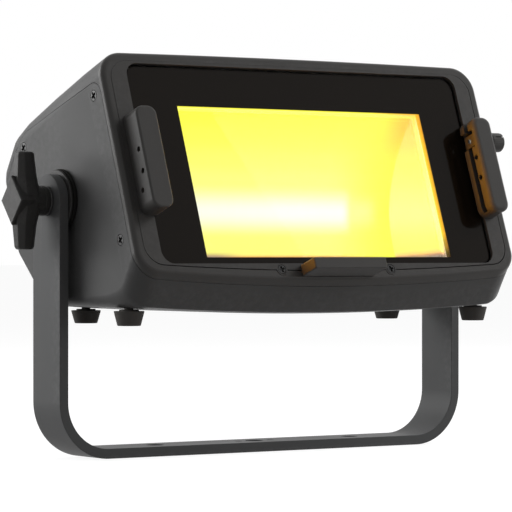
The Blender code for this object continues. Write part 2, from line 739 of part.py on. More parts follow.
def make_housing():
    seam = GAP / 2
    lower = finish("lower_housing", housing_shell(), HOUSING_PAINT, PANEL)
    boolean(lower, seam_tool("seam_lower", -seam))
    top = finish("top_cover", housing_shell(), HOUSING_PAINT, PANEL)
    boolean(top, seam_tool("seam_top", seam), "INTERSECT")
    behind = BULKHEAD_FRONT - BULKHEAD_THICKNESS - GAP
    reach = SEAM_HEIGHT + 7 * MM
    for side, tag in ((-1, "left"), (1, "right")):
        for place in ("upper_front", "upper_rear"):
            y, z = SIDE_SCREWS[place]
            name = f"{tag}_{place}"
            boolean(top, screw_tab("cover_tab_" + name, side, y, z, reach, behind), "UNION")
            boolean(top, screw_bore("cover_tab_bore_" + name, side, y, z))
    rear_opening = rounded(
        -REAR_HALF - GAP, REAR_HALF + GAP, REAR_BOTTOM - GAP, REAR_TOP + GAP, 4 * MM
    )
    for shell, tag in ((lower, "lower"), (top, "top")):
        opening = plate(rear_opening, REAR_FACE - 10 * MM, REAR_FACE + 10 * MM)
        boolean(shell, tool("rear_opening_" + tag, opening, PANEL))
    for side, tag in ((-1, "left"), (1, "right")):
        bore = bmesh.new()
        add_cylinder(
            bore,
            STUD_RADIUS + 1.5 * GAP,
            (side * (HEAD_HALF - 3 * WALL), 0, 0),
            (side * (HEAD_HALF + WALL), 0, 0),
            24,
        )
        boolean(lower, tool("housing_bore_" + tag, bore, HEAD))
        for place, (y, z) in SIDE_SCREWS.items():
            well = bmesh.new()
            seat = side * (HEAD_HALF - 1.6 * MM)
            outside = side * (HEAD_HALF + WALL)
            add_cylinder(well, SIDE_SCREW_HEAD + GAP, (seat, y, z), (outside, y, z), 12)
            boolean(lower, tool(f"screw_well_{tag}_{place}", well, PANEL))
            boolean(lower, screw_bore(f"screw_hole_{tag}_{place}", side, y, z))
    for name, x, y in feet():
        hole = bmesh.new()
        low = FOOT_BOTTOM - PIVOT_HEIGHT
        add_cylinder(hole, FOOT_STEM + GAP, (x, y, low), (x, y, low + 30 * MM), 12)
        boolean(lower, tool(name + "_hole", hole, HEAD))


def make_side_screws():
    for side, tag in ((-1, "left"), (1, "right")):
        for place, (y, z) in SIDE_SCREWS.items():
            face = HEAD_HALF + 0.2 * MM
            seat = HEAD_HALF - 1.6 * MM + GAP
            end = HEAD_HALF - 9 * MM
            profile = [
                (0.0, face),
                (0.6 * SIDE_SCREW_HEAD, face - 0.1 * MM),
                (SIDE_SCREW_HEAD, face - 0.6 * MM),
                (SIDE_SCREW_HEAD, seat),
                (SCREW_SHANK, seat),
                (SCREW_SHANK, end),
                (0.0, end),
            ]
            name = f"side_screw_{tag}_{place}"
            turned(name, profile, BLACK_STEEL, PANEL, (0, y, z), (side, 0, 0), 8)


def feet():
    names = []
    for side, tag in ((-1, "left"), (1, "right")):
        names.append(("foot_front_" + tag, side * FRONT_FOOT_X, FRONT_FOOT_Y))
        names.append(("foot_rear_" + tag, side * REAR_FOOT_X, REAR_FOOT_Y))
    return names


def make_feet():
    for name, x, y in feet():
        inner = abs(x) - FOOT_NECK
        bow = BASE_BOW * math.cos(PANEL_TILT) * (inner / HEAD_HALF) ** 2
        top = BASE_HEIGHT + bow - GAP - PIVOT_HEIGHT
        low = FOOT_BOTTOM - PIVOT_HEIGHT
        profile = [
            (0.0, top + 8 * MM),
            (FOOT_STEM, top + 8 * MM),
            (FOOT_STEM, top),
            (FOOT_NECK, top),
            (FOOT_NECK, top - 1.4 * MM),
            (FOOT_RADIUS, top - 1.8 * MM),
            (FOOT_RADIUS - 0.2 * MM, top - 3.5 * MM),
            (FOOT_RADIUS - 1.2 * MM, low + 1.2 * MM),
            (FOOT_RADIUS - 2.2 * MM, low),
            (0.0, low),
        ]
        turned(name, profile, RUBBER, HEAD, (x, y, 0), (0, 0, 1), 12)


# Front


def frame_outline(grow=0.0):
    return rounded(
        -OPENING_HALF - FRAME_BORDER - grow,
        OPENING_HALF + FRAME_BORDER + grow,
        OPENING_BOTTOM - FRAME_BORDER_Y - grow,
        OPENING_TOP + FRAME_BORDER_Y + grow,
        FRAME_CORNER + grow,
    )


def glass_outline(grow=0.0):
    lap = GLASS_LAP + grow
    return rounded(
        -OPENING_HALF - lap,
        OPENING_HALF + lap,
        OPENING_BOTTOM - lap,
        OPENING_TOP + lap,
        max(OPENING_CORNER + lap, MM),
    )


def rim_ring(z, inset):
    return section(
        z,
        HEAD_TOP - inset,
        CHIN_BOTTOM + inset,
        HEAD_HALF - inset,
        TOP_RADIUS - inset,
        TOP_RADIUS - inset,
        CHIN_BOW,
    )


def make_bezel():
    """The outer rim, with a rounded front edge and the frame's outline cut from it."""
    rings = [rim_ring(BEZEL_BACK, 0.0)]
    for i in range(5):
        angle = math.radians(90 * i / 4)
        depth = BEZEL_FACE - BEZEL_EDGE * (1 - math.sin(angle))
        rings.append(rim_ring(depth, BEZEL_EDGE * (1 - math.cos(angle))))
    bm = bmesh.new()
    add_loft(bm, rings)
    rim = finish("bezel_rim", bm, BEZEL_PLASTIC, PANEL)
    back = BEZEL_BACK - 5 * MM
    front = BEZEL_FACE + 5 * MM
    boolean(rim, tool("rim_opening", plate(frame_outline(GAP), back, front), PANEL))
    frame = finish(
        "bezel_frame", plate(frame_outline(), FRAME_BACK, BEZEL_FACE), BEZEL_PLASTIC, PANEL
    )
    for side, tag in ((-1, "left"), (1, "right")):
        x = side * FRAME_SCREW_X
        for target, radius, low, high, kind in (
            (rim, EAR_RADIUS + GAP, back, front, "notch"),
            (frame, EAR_RADIUS, FRAME_BACK, BEZEL_FACE, "ear"),
            (frame, FRAME_SCREW_HEAD + GAP, BEZEL_FACE - 1.7 * MM, front, "well"),
            (frame, SCREW_SHANK + GAP, back, front, "shank"),
        ):
            round_tool = bmesh.new()
            add_cylinder(round_tool, radius, (x, FRAME_SCREW_Y, low), (x, FRAME_SCREW_Y, high), 16)
            operation = "UNION" if kind == "ear" else "DIFFERENCE"
            boolean(target, tool(f"frame_{kind}_{tag}", round_tool, PANEL), operation)
    opening = rounded(
        -OPENING_HALF, OPENING_HALF, OPENING_BOTTOM, OPENING_TOP, OPENING_CORNER, 3
    )
    boolean(frame, tool("frame_opening", plate(opening, 2 * FRAME_BACK, front), PANEL))
    rebate = plate(glass_outline(GAP), 2 * FRAME_BACK, GAP)
    boolean(frame, tool("glass_rebate", rebate, PANEL))


def make_frame_screws():
    for side, tag in ((-1, "left"), (1, "right")):
        face = BEZEL_FACE + 0.1 * MM
        seat = BEZEL_FACE - 1.7 * MM + GAP
        end = BULKHEAD_FRONT - BULKHEAD_THICKNESS
        profile = [
            (0.0, face),
            (0.7 * FRAME_SCREW_HEAD, face - 0.1 * MM),
            (FRAME_SCREW_HEAD, face - 0.5 * MM),
            (FRAME_SCREW_HEAD, seat),
            (SCREW_SHANK, seat),
            (SCREW_SHANK, end),
            (0.0, end),
        ]
        place = (side * FRAME_SCREW_X, FRAME_SCREW_Y, 0)
        turned("frame_screw_" + tag, profile, BLACK_STEEL, PANEL, place, (0, 0, 1), 8)


def make_glass():
    """The pane, its black printed border and the seal behind it."""
    finish("front_glass", plate(glass_outline(), -GLASS_THICKNESS, 0.0), GLASS, PANEL)
    mask_front = -GLASS_THICKNESS - GAP
    mask_back = mask_front - MASK_THICKNESS
    mask = finish("glass_mask", plate(glass_outline(), mask_back, mask_front), MASK_PRINT, PANEL)
    window = rounded(-WINDOW_HALF, WINDOW_HALF, WINDOW_BOTTOM, WINDOW_TOP, 1 * MM, 2)
    boolean(mask, tool("mask_window", plate(window, mask_back - MM, mask_front + MM), PANEL))
    seal_front = mask_back - GAP
    gasket = finish("glass_gasket", plate(glass_outline(), FRAME_BACK, seal_front), RUBBER, PANEL)
    inner = glass_outline(-GASKET_WIDTH)
    boolean(gasket, tool("gasket_hole", plate(inner, 2 * FRAME_BACK, 0.0), PANEL))


def make_bulkhead():
    """The plate behind the glass that carries the frame, the reflector and the board's bar."""
    back = BULKHEAD_FRONT - BULKHEAD_THICKNESS
    rings = []
    for z in (back, BULKHEAD_FRONT):
        _, top, bottom, half, corner, radius, bow = station_at(z, inner_stations())
        slack = 2 * GAP
        corner -= slack
        rings.append(
            section(z, top - slack, bottom + slack, half - slack, corner, radius - slack, bow)
        )
    bm = bmesh.new()
    add_loft(bm, rings)
    bulkhead = finish("front_bulkhead", bm, ALUMINIUM, PANEL)
    window = rounded(
        -WINDOW_HALF - GAP,
        WINDOW_HALF + GAP,
        REFLECTOR_LIP,
        WINDOW_TOP + GAP,
        2 * MM,
        2,
    )
    boolean(bulkhead, tool("bulkhead_window", plate(window, back - MM, BULKHEAD_FRONT + MM), PANEL))
    for side, tag in ((-1, "left"), (1, "right")):
        y, z = SIDE_SCREWS["lower_front"]
        tab = screw_tab("bulkhead_tab_" + tag, side, y, z, y + TAB_WIDTH / 2, BULKHEAD_FRONT)
        boolean(bulkhead, tab, "UNION")
        boolean(bulkhead, screw_bore("bulkhead_tab_bore_" + tag, side, y, z))
        hole = bmesh.new()
        x = side * FRAME_SCREW_X
        add_cylinder(
            hole,
            SCREW_SHANK + GAP,
            (x, FRAME_SCREW_Y, back - MM),
            (x, FRAME_SCREW_Y, BULKHEAD_FRONT + MM),
            12,
        )
        boolean(bulkhead, tool("bulkhead_hole_" + tag, hole, PANEL))


# Filter holders and latch


def holder_blank(outline, base, face, edge):
    """A block on the bezel with a rounded front edge. outline(inset) gives its outline."""
    rings = [[(x, y, base) for x, y in outline(0.0)]]
    for i in range(4):
        angle = math.radians(90 * i / 3)
        depth = face - edge * (1 - math.sin(angle))
        rings.append([(x, y, depth) for x, y in outline(edge * (1 - math.cos(angle)))])
    bm = bmesh.new()
    add_loft(bm, rings)
    return bm


def make_side_holder(side, tag):
    def outline(inset):
        left, right = sorted((side * HOLDER_INNER, side * HOLDER_OUTER))
        return rounded(
            left + inset,
            right - inset,
            HOLDER_BOTTOM + inset,
            HOLDER_TOP - inset,
            HOLDER_CORNER - inset,
            4,
        )

    base = BEZEL_FACE + GAP
    holder = finish(
        "filter_holder_" + tag,
        holder_blank(outline, base, HOLDER_FACE, HOLDER_EDGE),
        HOLDER_PLASTIC,
        PANEL,
    )
    slot = bmesh.new()
    xs = sorted((side * (HOLDER_INNER - 8 * MM), side * SLOT_FLOOR))
    add_box(slot, (xs[0], SLOT_END, SLOT_BACK), (xs[1], HOLDER_TOP + 9 * MM, SLOT_FRONT))
    boolean(holder, tool("filter_slot_" + tag, slot, PANEL))
    for number, (y, z) in enumerate(CLIP_HOLES, 1):
        hole = bmesh.new()
        ends = (side * (HOLDER_INNER - 5 * MM), side * (HOLDER_OUTER + 5 * MM))
        add_cylinder(hole, CLIP_HOLE_RADIUS, (ends[0], y, z), (ends[1], y, z), 12)
        boolean(holder, tool(f"clip_hole_{tag}_{number}", hole, PANEL))
    return holder


def make_ledge():
    def outline(inset):
        return rounded(
            -LEDGE_HALF + inset,
            LEDGE_HALF - inset,
            LEDGE_BOTTOM + inset,
            LEDGE_TOP - inset,
            1.2 * MM - 0.8 * inset,
            2,
        )

    base = BEZEL_FACE + GAP
    ledge = finish(
        "filter_holder_bottom",
        holder_blank(outline, base, LEDGE_FACE, 1.0 * MM),
        HOLDER_PLASTIC,
        PANEL,
    )
    slot = bmesh.new()
    reach = LEDGE_HALF + 5 * MM
    add_box(slot, (-reach, LEDGE_TOP - 3 * MM, SLOT_BACK), (reach, LEDGE_TOP + 5 * MM, SLOT_FRONT))
    boolean(ledge, tool("filter_slot_bottom", slot, PANEL))


def make_latch(holder):
    """A square block on a rod, drawn out of the slot by its knob against a spring."""
    pocket = bmesh.new()
    half = LATCH_BLOCK_Y / 2
    add_box(
        pocket,
        (HOLDER_INNER - 8 * MM, LATCH_Y - half - GAP, -BEZEL_FACE),
        (LATCH_POCKET, LATCH_Y + half + GAP, LATCH_BLOCK_FRONT + GAP),
    )
    boolean(holder, tool("latch_pocket", pocket, PANEL))
    bore = bmesh.new()
    end = HOLDER_OUTER + 5 * MM
    add_cylinder(
        bore, LATCH_ROD_RADIUS + GAP, (LATCH_POCKET - MM, LATCH_Y, LATCH_Z), (end, LATCH_Y, LATCH_Z), 16
    )
    boolean(holder, tool("latch_bore", bore, PANEL))
    block = bmesh.new()
    centre_z = (LATCH_BLOCK_BACK + LATCH_BLOCK_FRONT) / 2
    add_box(
        block,
        (LATCH_BLOCK_X[0], -half, LATCH_BLOCK_BACK - LATCH_Z),
        (LATCH_BLOCK_X[1], half, LATCH_BLOCK_FRONT - LATCH_Z),
    )
    latch = finish("latch_block", block, HOLDER_PLASTIC, PANEL, (0, LATCH_Y, LATCH_Z))
    bevel(latch, 0.4 * MM, 1)
    knob_start = HOLDER_OUTER + GAP
    knob_end = knob_start + 1.5 * MM + LATCH_KNOB_LENGTH
    rod = bmesh.new()
    add_cylinder(
        rod,
        LATCH_ROD_RADIUS,
        (LATCH_BLOCK_X[1] - MM, 0, 0),
        (knob_end - 3 * MM, 0, 0),
        16,
    )
    boolean(latch, tool("latch_rod", rod, PANEL, (0, LATCH_Y, LATCH_Z)), "UNION")
    pin = bmesh.new()
    face = LATCH_BLOCK_X[0]
    spot = (centre_z - LATCH_Z, 1.1 * MM)
    add_cylinder(pin, spot[1], (face - 0.3 * MM, 0, spot[0]), (face + MM, 0, spot[0]), 10)
    boolean(latch, tool("latch_rivet", pin, PANEL, (0, LATCH_Y, LATCH_Z)), "UNION")
    knob = bmesh.new()
    rings = []
    r = LATCH_KNOB_RADIUS
    for x, radius, ridge in (
        (knob_start, 0.66 * r, 0.0),
        (knob_start + 1.5 * MM, 0.66 * r, 0.0),
        (knob_start + 1.6 * MM, r - 0.5 * MM, 0.0),
        (knob_start + 2.2 * MM, r, 0.35 * MM),
        (knob_end - 0.7 * MM, r, 0.35 * MM),
        (knob_end, r - 0.7 * MM, 0.0),
    ):
        ring = []
        for i in range(2 * LATCH_RIDGES):
            angle = math.pi * i / LATCH_RIDGES
            reach = radius - ridge * (i % 2)
            ring.append((x, reach * math.cos(angle), reach * math.sin(angle)))
        rings.append(ring)
    add_loft(knob, rings)
    latch_knob = finish("latch_knob", knob, KNOB_PLASTIC, PANEL, (0, LATCH_Y, LATCH_Z))
    knob_bore = bmesh.new()
    add_cylinder(
        knob_bore,
        LATCH_ROD_RADIUS + GAP,
        (knob_start - MM, 0, 0),
        (knob_end - 3 * MM + GAP, 0, 0),
        16,
    )
    boolean(latch_knob, tool("latch_knob_bore", knob_bore, PANEL, (0, LATCH_Y, LATCH_Z)))
    make_spring()


def make_spring():
    """The latch's spring, pressed short against the web that the rod goes through."""
    points = 9
    count = int(SPRING_TURNS * points)
    end = LATCH_POCKET - GAP - SPRING_WIRE
    curve = bpy.data.curves.new("latch_spring", "CURVE")
    curve.dimensions = "3D"
    curve.bevel_depth = SPRING_WIRE
    curve.bevel_resolution = 1
    curve.use_fill_caps = True
    spline = curve.splines.new("POLY")
    spline.points.add(count)
    for i in range(count + 1):
        angle = 2 * math.pi * i / points
        x = end - SPRING_LENGTH * i / count
        y = SPRING_RADIUS * math.cos(angle)
        z = SPRING_RADIUS * math.sin(angle)
        spline.points[i].co = (x, y, z, 1.0)
    curve.materials.append(STEEL)
    spring = bpy.data.objects.new("latch_spring", curve)
    parts.objects.link(spring)
    spring.parent = PANEL
    spring.location = (0, LATCH_Y, LATCH_Z)


# Light engine


def reflector_point(y):
    """The reflector's depth at height y along the panel."""
    if y >= REFLECTOR_DEEPEST:
        share = (y - REFLECTOR_DEEPEST) / (REFLECTOR_TOP - REFLECTOR_DEEPEST)
        rise = (REFLECTOR_DEPTH + REFLECTOR_FRONT) * share**REFLECTOR_POWER
    else:
        rise = 13 * MM * ((REFLECTOR_DEEPEST - y) / (35 * MM)) ** 2
    return -REFLECTOR_DEPTH + rise


def reflector_curve():
    """(z, y) from the window's upper edge down to the board."""
    steps = 20
    low = BOARD_Y + 0.5 * MM
    curve = []
    for i in range(steps + 1):
        y = REFLECTOR_TOP + (low - REFLECTOR_TOP) * i / steps
        curve.append((reflector_point(y), y))
    curve.append((BOARD_Z - 9.5 * MM, low - 3.1 * MM))
    return curve


def offset_outwards(curve, distance):
    """The same curve, moved back and down by distance, square to itself."""
    moved = []
    for i, (z, y) in enumerate(curve):
        before = curve[max(i - 1, 0)]
        after = curve[min(i + 1, len(curve) - 1)]
        along = Vector((after[0] - before[0], after[1] - before[1])).normalized()
        moved.append((z + along.y * distance, y - along.x * distance))
    return moved


def make_reflector():
    inner = reflector_curve()
    outer = offset_outwards(inner, SHEET)
    top = REFLECTOR_TOP + REFLECTOR_FLANGE
    flange = [(REFLECTOR_FRONT - SHEET, top), (REFLECTOR_FRONT, top)]
    outer[0] = (REFLECTOR_FRONT - SHEET, REFLECTOR_TOP + 0.6 * SHEET)
    strip = flange + inner + list(reversed(outer))
    main = profile_bar(strip, -REFLECTOR_HALF, REFLECTOR_HALF)
    finish("reflector", main, REFLECTOR_METAL, PANEL, sharp=50)
    low = REFLECTOR_LIP + 3 * MM
    flank = outer + [(REFLECTOR_FRONT, low), (REFLECTOR_FRONT, REFLECTOR_TOP)]
    for side, tag in ((-1, "left"), (1, "right")):
        xs = sorted((side * (REFLECTOR_HALF + GAP), side * (REFLECTOR_HALF + GAP + SHEET)))
        end = finish("reflector_end_" + tag, profile_bar(flank, *xs), REFLECTOR_METAL, PANEL)
        xs = sorted((side * (REFLECTOR_HALF + GAP), side * (REFLECTOR_HALF + REFLECTOR_FLANGE)))
        tab = bmesh.new()
        add_box(tab, (xs[0], low, REFLECTOR_FRONT - SHEET), (xs[1], REFLECTOR_TOP, REFLECTOR_FRONT))
        boolean(end, tool("reflector_tab_" + tag, tab, PANEL), "UNION")


def make_light_source():
    """The board with its emitters, leaning back at the reflector, and the bar that cools it."""
    centre = Vector((BOARD_Z, BOARD_Y))
    along = Vector((math.cos(BOARD_LEAN), math.sin(BOARD_LEAN)))
    out = Vector((-along.y, along.x))

    def at(u, n):
        point = centre + along * u + out * n
        return (point.x, point.y)

    half = BOARD_WIDTH / 2
    outline = [
        at(-half, -BOARD_THICKNESS),
        at(half, -BOARD_THICKNESS),
        at(half, 0),
        at(-half, 0),
    ]
    board = finish("led_board", profile_bar(outline, -BOARD_HALF, BOARD_HALF), BOARD, PANEL)
    pitch = 2 * (BOARD_HALF - EMITTER_SIZE) / (EMITTERS - 1)
    e = EMITTER_SIZE / 2
    chips = bmesh.new()
    chip = [at(-e, -0.5 * BOARD_THICKNESS), at(e, -0.5 * BOARD_THICKNESS)]
    chip += [at(e, EMITTER_HEIGHT), at(-e, EMITTER_HEIGHT)]
    for i in range(EMITTERS):
        x = -BOARD_HALF + EMITTER_SIZE + i * pitch
        add_loft(chips, [[(cx, y, z) for z, y in chip] for cx in (x - e, x + e)])
    boolean(board, tool("emitters", chips, PANEL), "UNION")
    bulkhead_back = BULKHEAD_FRONT - BULKHEAD_THICKNESS - GAP
    seat = -BOARD_THICKNESS - GAP
    margin = half + 1.5 * MM
    heel = BOARD_Z - 22 * MM
    bow = BASE_BOW * (BOARD_HALF / HEAD_HALF) ** 2
    floor = base_line(heel) + WALL + bow + 1.5 * MM
    bar = [
        (bulkhead_back, at(margin, seat)[1]),
        at(margin, seat),
        at(-margin, seat),
        (heel, at(-margin, seat)[1]),
        (heel, floor),
        (bulkhead_back, floor),
    ]
    finish("heat_spreader", profile_bar(bar, -BOARD_HALF - 3 * MM, BOARD_HALF + 3 * MM), ALUMINIUM, PANEL)


# Rear


def make_rear_panel():
    skin = plate(
        rounded(-REAR_HALF, REAR_HALF, REAR_BOTTOM, REAR_TOP, 3.7 * MM),
        REAR_FACE,
        REAR_FLANGE_BACK - MM,
    )
    panel = finish("rear_panel", skin, HOUSING_PAINT, PANEL)
    lap = REAR_FLANGE
    flange = plate(
        rounded(-REAR_HALF - lap, REAR_HALF + lap, REAR_BOTTOM - lap, REAR_TOP + lap, 4 * MM),
        REAR_FACE + WALL + GAP,
        REAR_FLANGE_BACK,
    )
    boolean(panel, tool("rear_flange", flange, PANEL), "UNION")
    low = REAR_FACE - 5 * MM
    high = REAR_FLANGE_BACK + 5 * MM
    fins = plate(rounded(FIN_LEFT, FIN_RIGHT, FIN_BOTTOM, FIN_TOP, 2 * MM, 3), low, high)
    boolean(panel, tool("fin_window", fins, PANEL))
    x, y = DISPLAY_X, DISPLAY_Y
    w, h = DISPLAY_WIDTH / 2 + GAP, DISPLAY_HEIGHT / 2 + GAP
    glass = plate(rounded(x - w, x + w, y - h, y + h, 1 * MM, 2), low, high)
    boolean(panel, tool("display_cut", glass, PANEL))
    holes = {f"button_hole_{i}": (x, BUTTON_Y, BUTTON_RADIUS) for i, x in enumerate(BUTTON_X, 1)}
    for name, (x, y) in SOCKETS.items():
        holes[name + "_hole"] = (x, y, SOCKET_BODY)
    for name, (x, y, radius) in holes.items():
        hole = bmesh.new()
        add_cylinder(hole, radius + 2 * GAP, (x, y, low), (x, y, high), 12)
        boolean(panel, tool(name, hole, PANEL))


def make_heat_sink():
    """A finned block whose fins reach out through the rear panel."""
    left, right, bottom, top = FIN_LEFT, FIN_RIGHT, FIN_BOTTOM, FIN_TOP
    base_top = FIN_BASE + FIN_BASE_THICKNESS
    bm = bmesh.new()
    margin = 7 * MM
    add_box(bm, (left - margin, bottom - margin / 2, FIN_BASE), (right + margin, top + margin / 2, base_top))
    sink = finish("heat_sink", bm, ALUMINIUM, PANEL)
    fins = bmesh.new()
    span = right - left - 2 * MM - FIN_THICKNESS
    gaps = int(span / FIN_PITCH)
    for i in range(gaps + 1):
        x = left + MM + span * i / gaps
        add_box(fins, (x, bottom + MM, FIN_TIP), (x + FIN_THICKNESS, top - MM, FIN_BASE + MM))
    for x in (left - margin, right + margin - 3 * MM):
        seat = REAR_FLANGE_BACK + GAP
        add_box(fins, (x, bottom - margin / 2, seat), (x + 3 * MM, top + margin / 2, FIN_BASE + MM))
    boolean(sink, tool("heat_sink_fins", fins, PANEL), "UNION")
    centre = ((left + right) / 2, (bottom + top) / 2)
    w, h, d = SUPPLY_WIDTH, SUPPLY_HEIGHT, SUPPLY_DEPTH
    start = base_top + GAP
    box = bmesh.new()
    low = (centre[0] - w / 2, centre[1] - h / 2, start)
    add_box(box, low, (centre[0] + w / 2, centre[1] + h / 2, start + d))
    supply = finish("power_supply", box, SUPPLY_METAL, PANEL)
    bevel(supply, 1.0 * MM, 1)


def make_controls():
    """The display's window, the control board behind it and four menu buttons."""
    x, y = DISPLAY_X, DISPLAY_Y
    w, h = DISPLAY_WIDTH / 2, DISPLAY_HEIGHT / 2
    seat = REAR_FLANGE_BACK + GAP
    front = rounded(x - w, x + w, y - h, y + h, 0.8 * MM, 2)
    window = finish("display_window", plate(front, REAR_FACE - 0.2 * MM, seat + MM), DISPLAY, PANEL)
    lip = 2 * MM
    back = rounded(x - w - lip, x + w + lip, y - h - lip, y + h + lip, 1 * MM, 2)
    boolean(window, tool("display_lip", plate(back, seat, seat + 1.6 * MM), PANEL), "UNION")
    board_low, board_high = CONTROL_BOARD_Z - 1.6 * MM, CONTROL_BOARD_Z
    left = BUTTON_X[0] - 12 * MM
    right = BUTTON_X[-1] + 10 * MM
    bottom, top = BUTTON_Y - 9 * MM, DISPLAY_Y + 14 * MM
    bm = bmesh.new()
    add_box(bm, (left, bottom, board_low), (right, top, board_high))
    board = finish("control_board", bm, BOARD, PANEL)
    posts = bmesh.new()
    inset = 3.2 * MM
    for px in (left + inset, right - inset):
        for py in (bottom + inset, top - inset):
            add_cylinder(posts, 2.2 * MM, (px, py, seat), (px, py, board_low + 0.8 * MM), 6)
    switch = 3 * MM
    for bx in BUTTON_X:
        low = (bx - switch, BUTTON_Y - switch, board_low - 4 * MM)
        add_box(posts, low, (bx + switch, BUTTON_Y + switch, board_low + 0.8 * MM))
    boolean(board, tool("board_posts", posts, PANEL), "UNION")
    for number, bx in enumerate(BUTTON_X, 1):
        proud = REAR_FACE - BUTTON_PROUD
        stem_end = board_low - 4 * MM - BUTTON_TRAVEL - 2 * GAP
        r = BUTTON_RADIUS
        profile = [
            (0.0, stem_end),
            (1.8 * MM, stem_end),
            (1.8 * MM, seat + 1.2 * MM),
            (r + 1.1 * MM, seat + 1.2 * MM),
            (r + 1.1 * MM, seat),
            (r, seat),
            (r, proud + 0.6 * MM),
            (r - 0.6 * MM, proud),
            (0.0, proud - 0.1 * MM),
        ]
        place = (bx, BUTTON_Y, 0)
        turned(f"menu_button_{number}", profile, BUTTON_RUBBER, PANEL, place, (0, 0, 1), 12)


def make_sockets():
    """Chassis sockets, each a flanged body with a ring-shaped recess round its insert."""
    face = REAR_FACE - GAP - SOCKET_PROUD
    seat = REAR_FACE - GAP
    inner = REAR_FACE + SOCKET_DEPTH
    recess = face + 3 * MM
    insert = face + 0.8 * MM
    edge = 0.6 * MM
    for name, (x, y) in SOCKETS.items():
        profile = [
            (0.0, inner),
            (SOCKET_BODY, inner),
            (SOCKET_BODY, seat),
            (SOCKET_FLANGE, seat),
            (SOCKET_FLANGE, face + edge),
            (SOCKET_FLANGE - edge, face),
            (SOCKET_BORE, face),
            (SOCKET_BORE, recess),
            (SOCKET_CORE, recess),
            (SOCKET_CORE, insert),
            (0.0, insert),
        ]
        turned(name, profile, SOCKET_PLASTIC, PANEL, (x, y, 0), (0, 0, 1), 12)


make_yoke()
for side, tag in ((-1, "left"), (1, "right")):
    make_clamp(side, tag)
make_housing()
make_side_screws()
make_feet()
make_bezel()
make_frame_screws()
make_glass()
make_bulkhead()
make_side_holder(-1, "left")
make_latch(make_side_holder(1, "right"))
make_ledge()
make_reflector()
make_light_source()
make_rear_panel()
make_heat_sink()
make_controls()
make_sockets()
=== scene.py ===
"""Looks of a stage floodlight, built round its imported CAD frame.

Shapes are drawn in millimetres, in the frame of what carries them: FLOOR is the row frame,
PANEL is the leaning front (x across, y up along the glass, z outward from its face) and
PIVOT is the tilt axis. Each piece is moved into the row frame, in metres, when it is placed.
"""

import json
import math

import bmesh
import bpy
from mathutils import Matrix, Vector

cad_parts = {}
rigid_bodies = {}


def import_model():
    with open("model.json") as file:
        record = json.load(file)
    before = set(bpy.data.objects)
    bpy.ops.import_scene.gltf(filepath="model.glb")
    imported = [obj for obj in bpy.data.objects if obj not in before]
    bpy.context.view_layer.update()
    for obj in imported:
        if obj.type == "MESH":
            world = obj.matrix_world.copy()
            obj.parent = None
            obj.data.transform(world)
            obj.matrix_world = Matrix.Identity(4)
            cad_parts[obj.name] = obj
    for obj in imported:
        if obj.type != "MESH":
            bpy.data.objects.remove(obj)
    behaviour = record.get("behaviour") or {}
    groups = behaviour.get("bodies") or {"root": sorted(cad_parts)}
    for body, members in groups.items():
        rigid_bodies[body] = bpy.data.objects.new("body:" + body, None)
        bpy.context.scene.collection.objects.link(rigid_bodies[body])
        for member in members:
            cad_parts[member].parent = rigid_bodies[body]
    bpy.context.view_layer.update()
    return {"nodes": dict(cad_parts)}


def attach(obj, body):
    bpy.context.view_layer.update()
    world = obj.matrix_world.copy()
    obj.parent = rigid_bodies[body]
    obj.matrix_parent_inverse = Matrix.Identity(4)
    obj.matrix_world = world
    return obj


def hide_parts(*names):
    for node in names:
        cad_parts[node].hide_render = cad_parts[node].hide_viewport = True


for old in list(bpy.data.objects):
    bpy.data.objects.remove(old, do_unlink=True)

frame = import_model()

LEAN = math.radians(20)
PANEL_Y = -96.5
PANEL_Z = 143
METRES = Matrix.Scale(0.001, 4)
FLOOR = Matrix.Identity(4)
PIVOT = Matrix.Translation((0, 0, 180))
PANEL = Matrix.Translation((0, PANEL_Y, PANEL_Z)) @ Matrix.Rotation(math.pi / 2 - LEAN, 4, "X")
SIDES = ((-1, "left"), (1, "right"))

GAP = 0.3
WALL = 3
HEAD_HALF = 162.5
HEAD_TOP = 148.4
HEAD_BACK = -152
CHIN = -22.9
CHIN_BOW = 7.3
BASE_HEIGHT = 101
BASE_BOW = 6.2
CROWN = 1.2
CORNER = 18.5
RIM_BACK = -3
RIM_FACE = 2.35
FRAME_FACE = 2.6
FRAME_BACK = -6.4
STUD_BORE = 5.45
FRAME_SCREW_X = 47
FRAME_SCREW_Y = -12.1
LATCH_Y = 84.5
LATCH_Z = 10.2


# Outlines


def arc(cx, cy, wide, start, end, steps, tall=None):
    """Part of a circle, or of an ellipse where its height is another."""
    tall = wide if tall is None else tall
    angles = [math.radians(start + (end - start) * i / steps) for i in range(steps + 1)]
    return [(cx + wide * math.cos(a), cy + tall * math.sin(a)) for a in angles]


def rounded(left, right, bottom, top, r, steps=10):
    """A rectangle with round corners, anticlockwise from its lower right corner."""
    return (
        arc(right - r, bottom + r, r, -90, 0, steps)
        + arc(right - r, top - r, r, 0, 90, steps)
        + arc(left + r, top - r, r, 90, 180, steps)
        + arc(left + r, bottom + r, r, 180, 270, steps)
    )


def sag(height, bend, half=HEAD_HALF):
    """The height of a curve at x, which has changed by bend at half from the middle."""
    return lambda x: height + bend * (x / half) ** 2


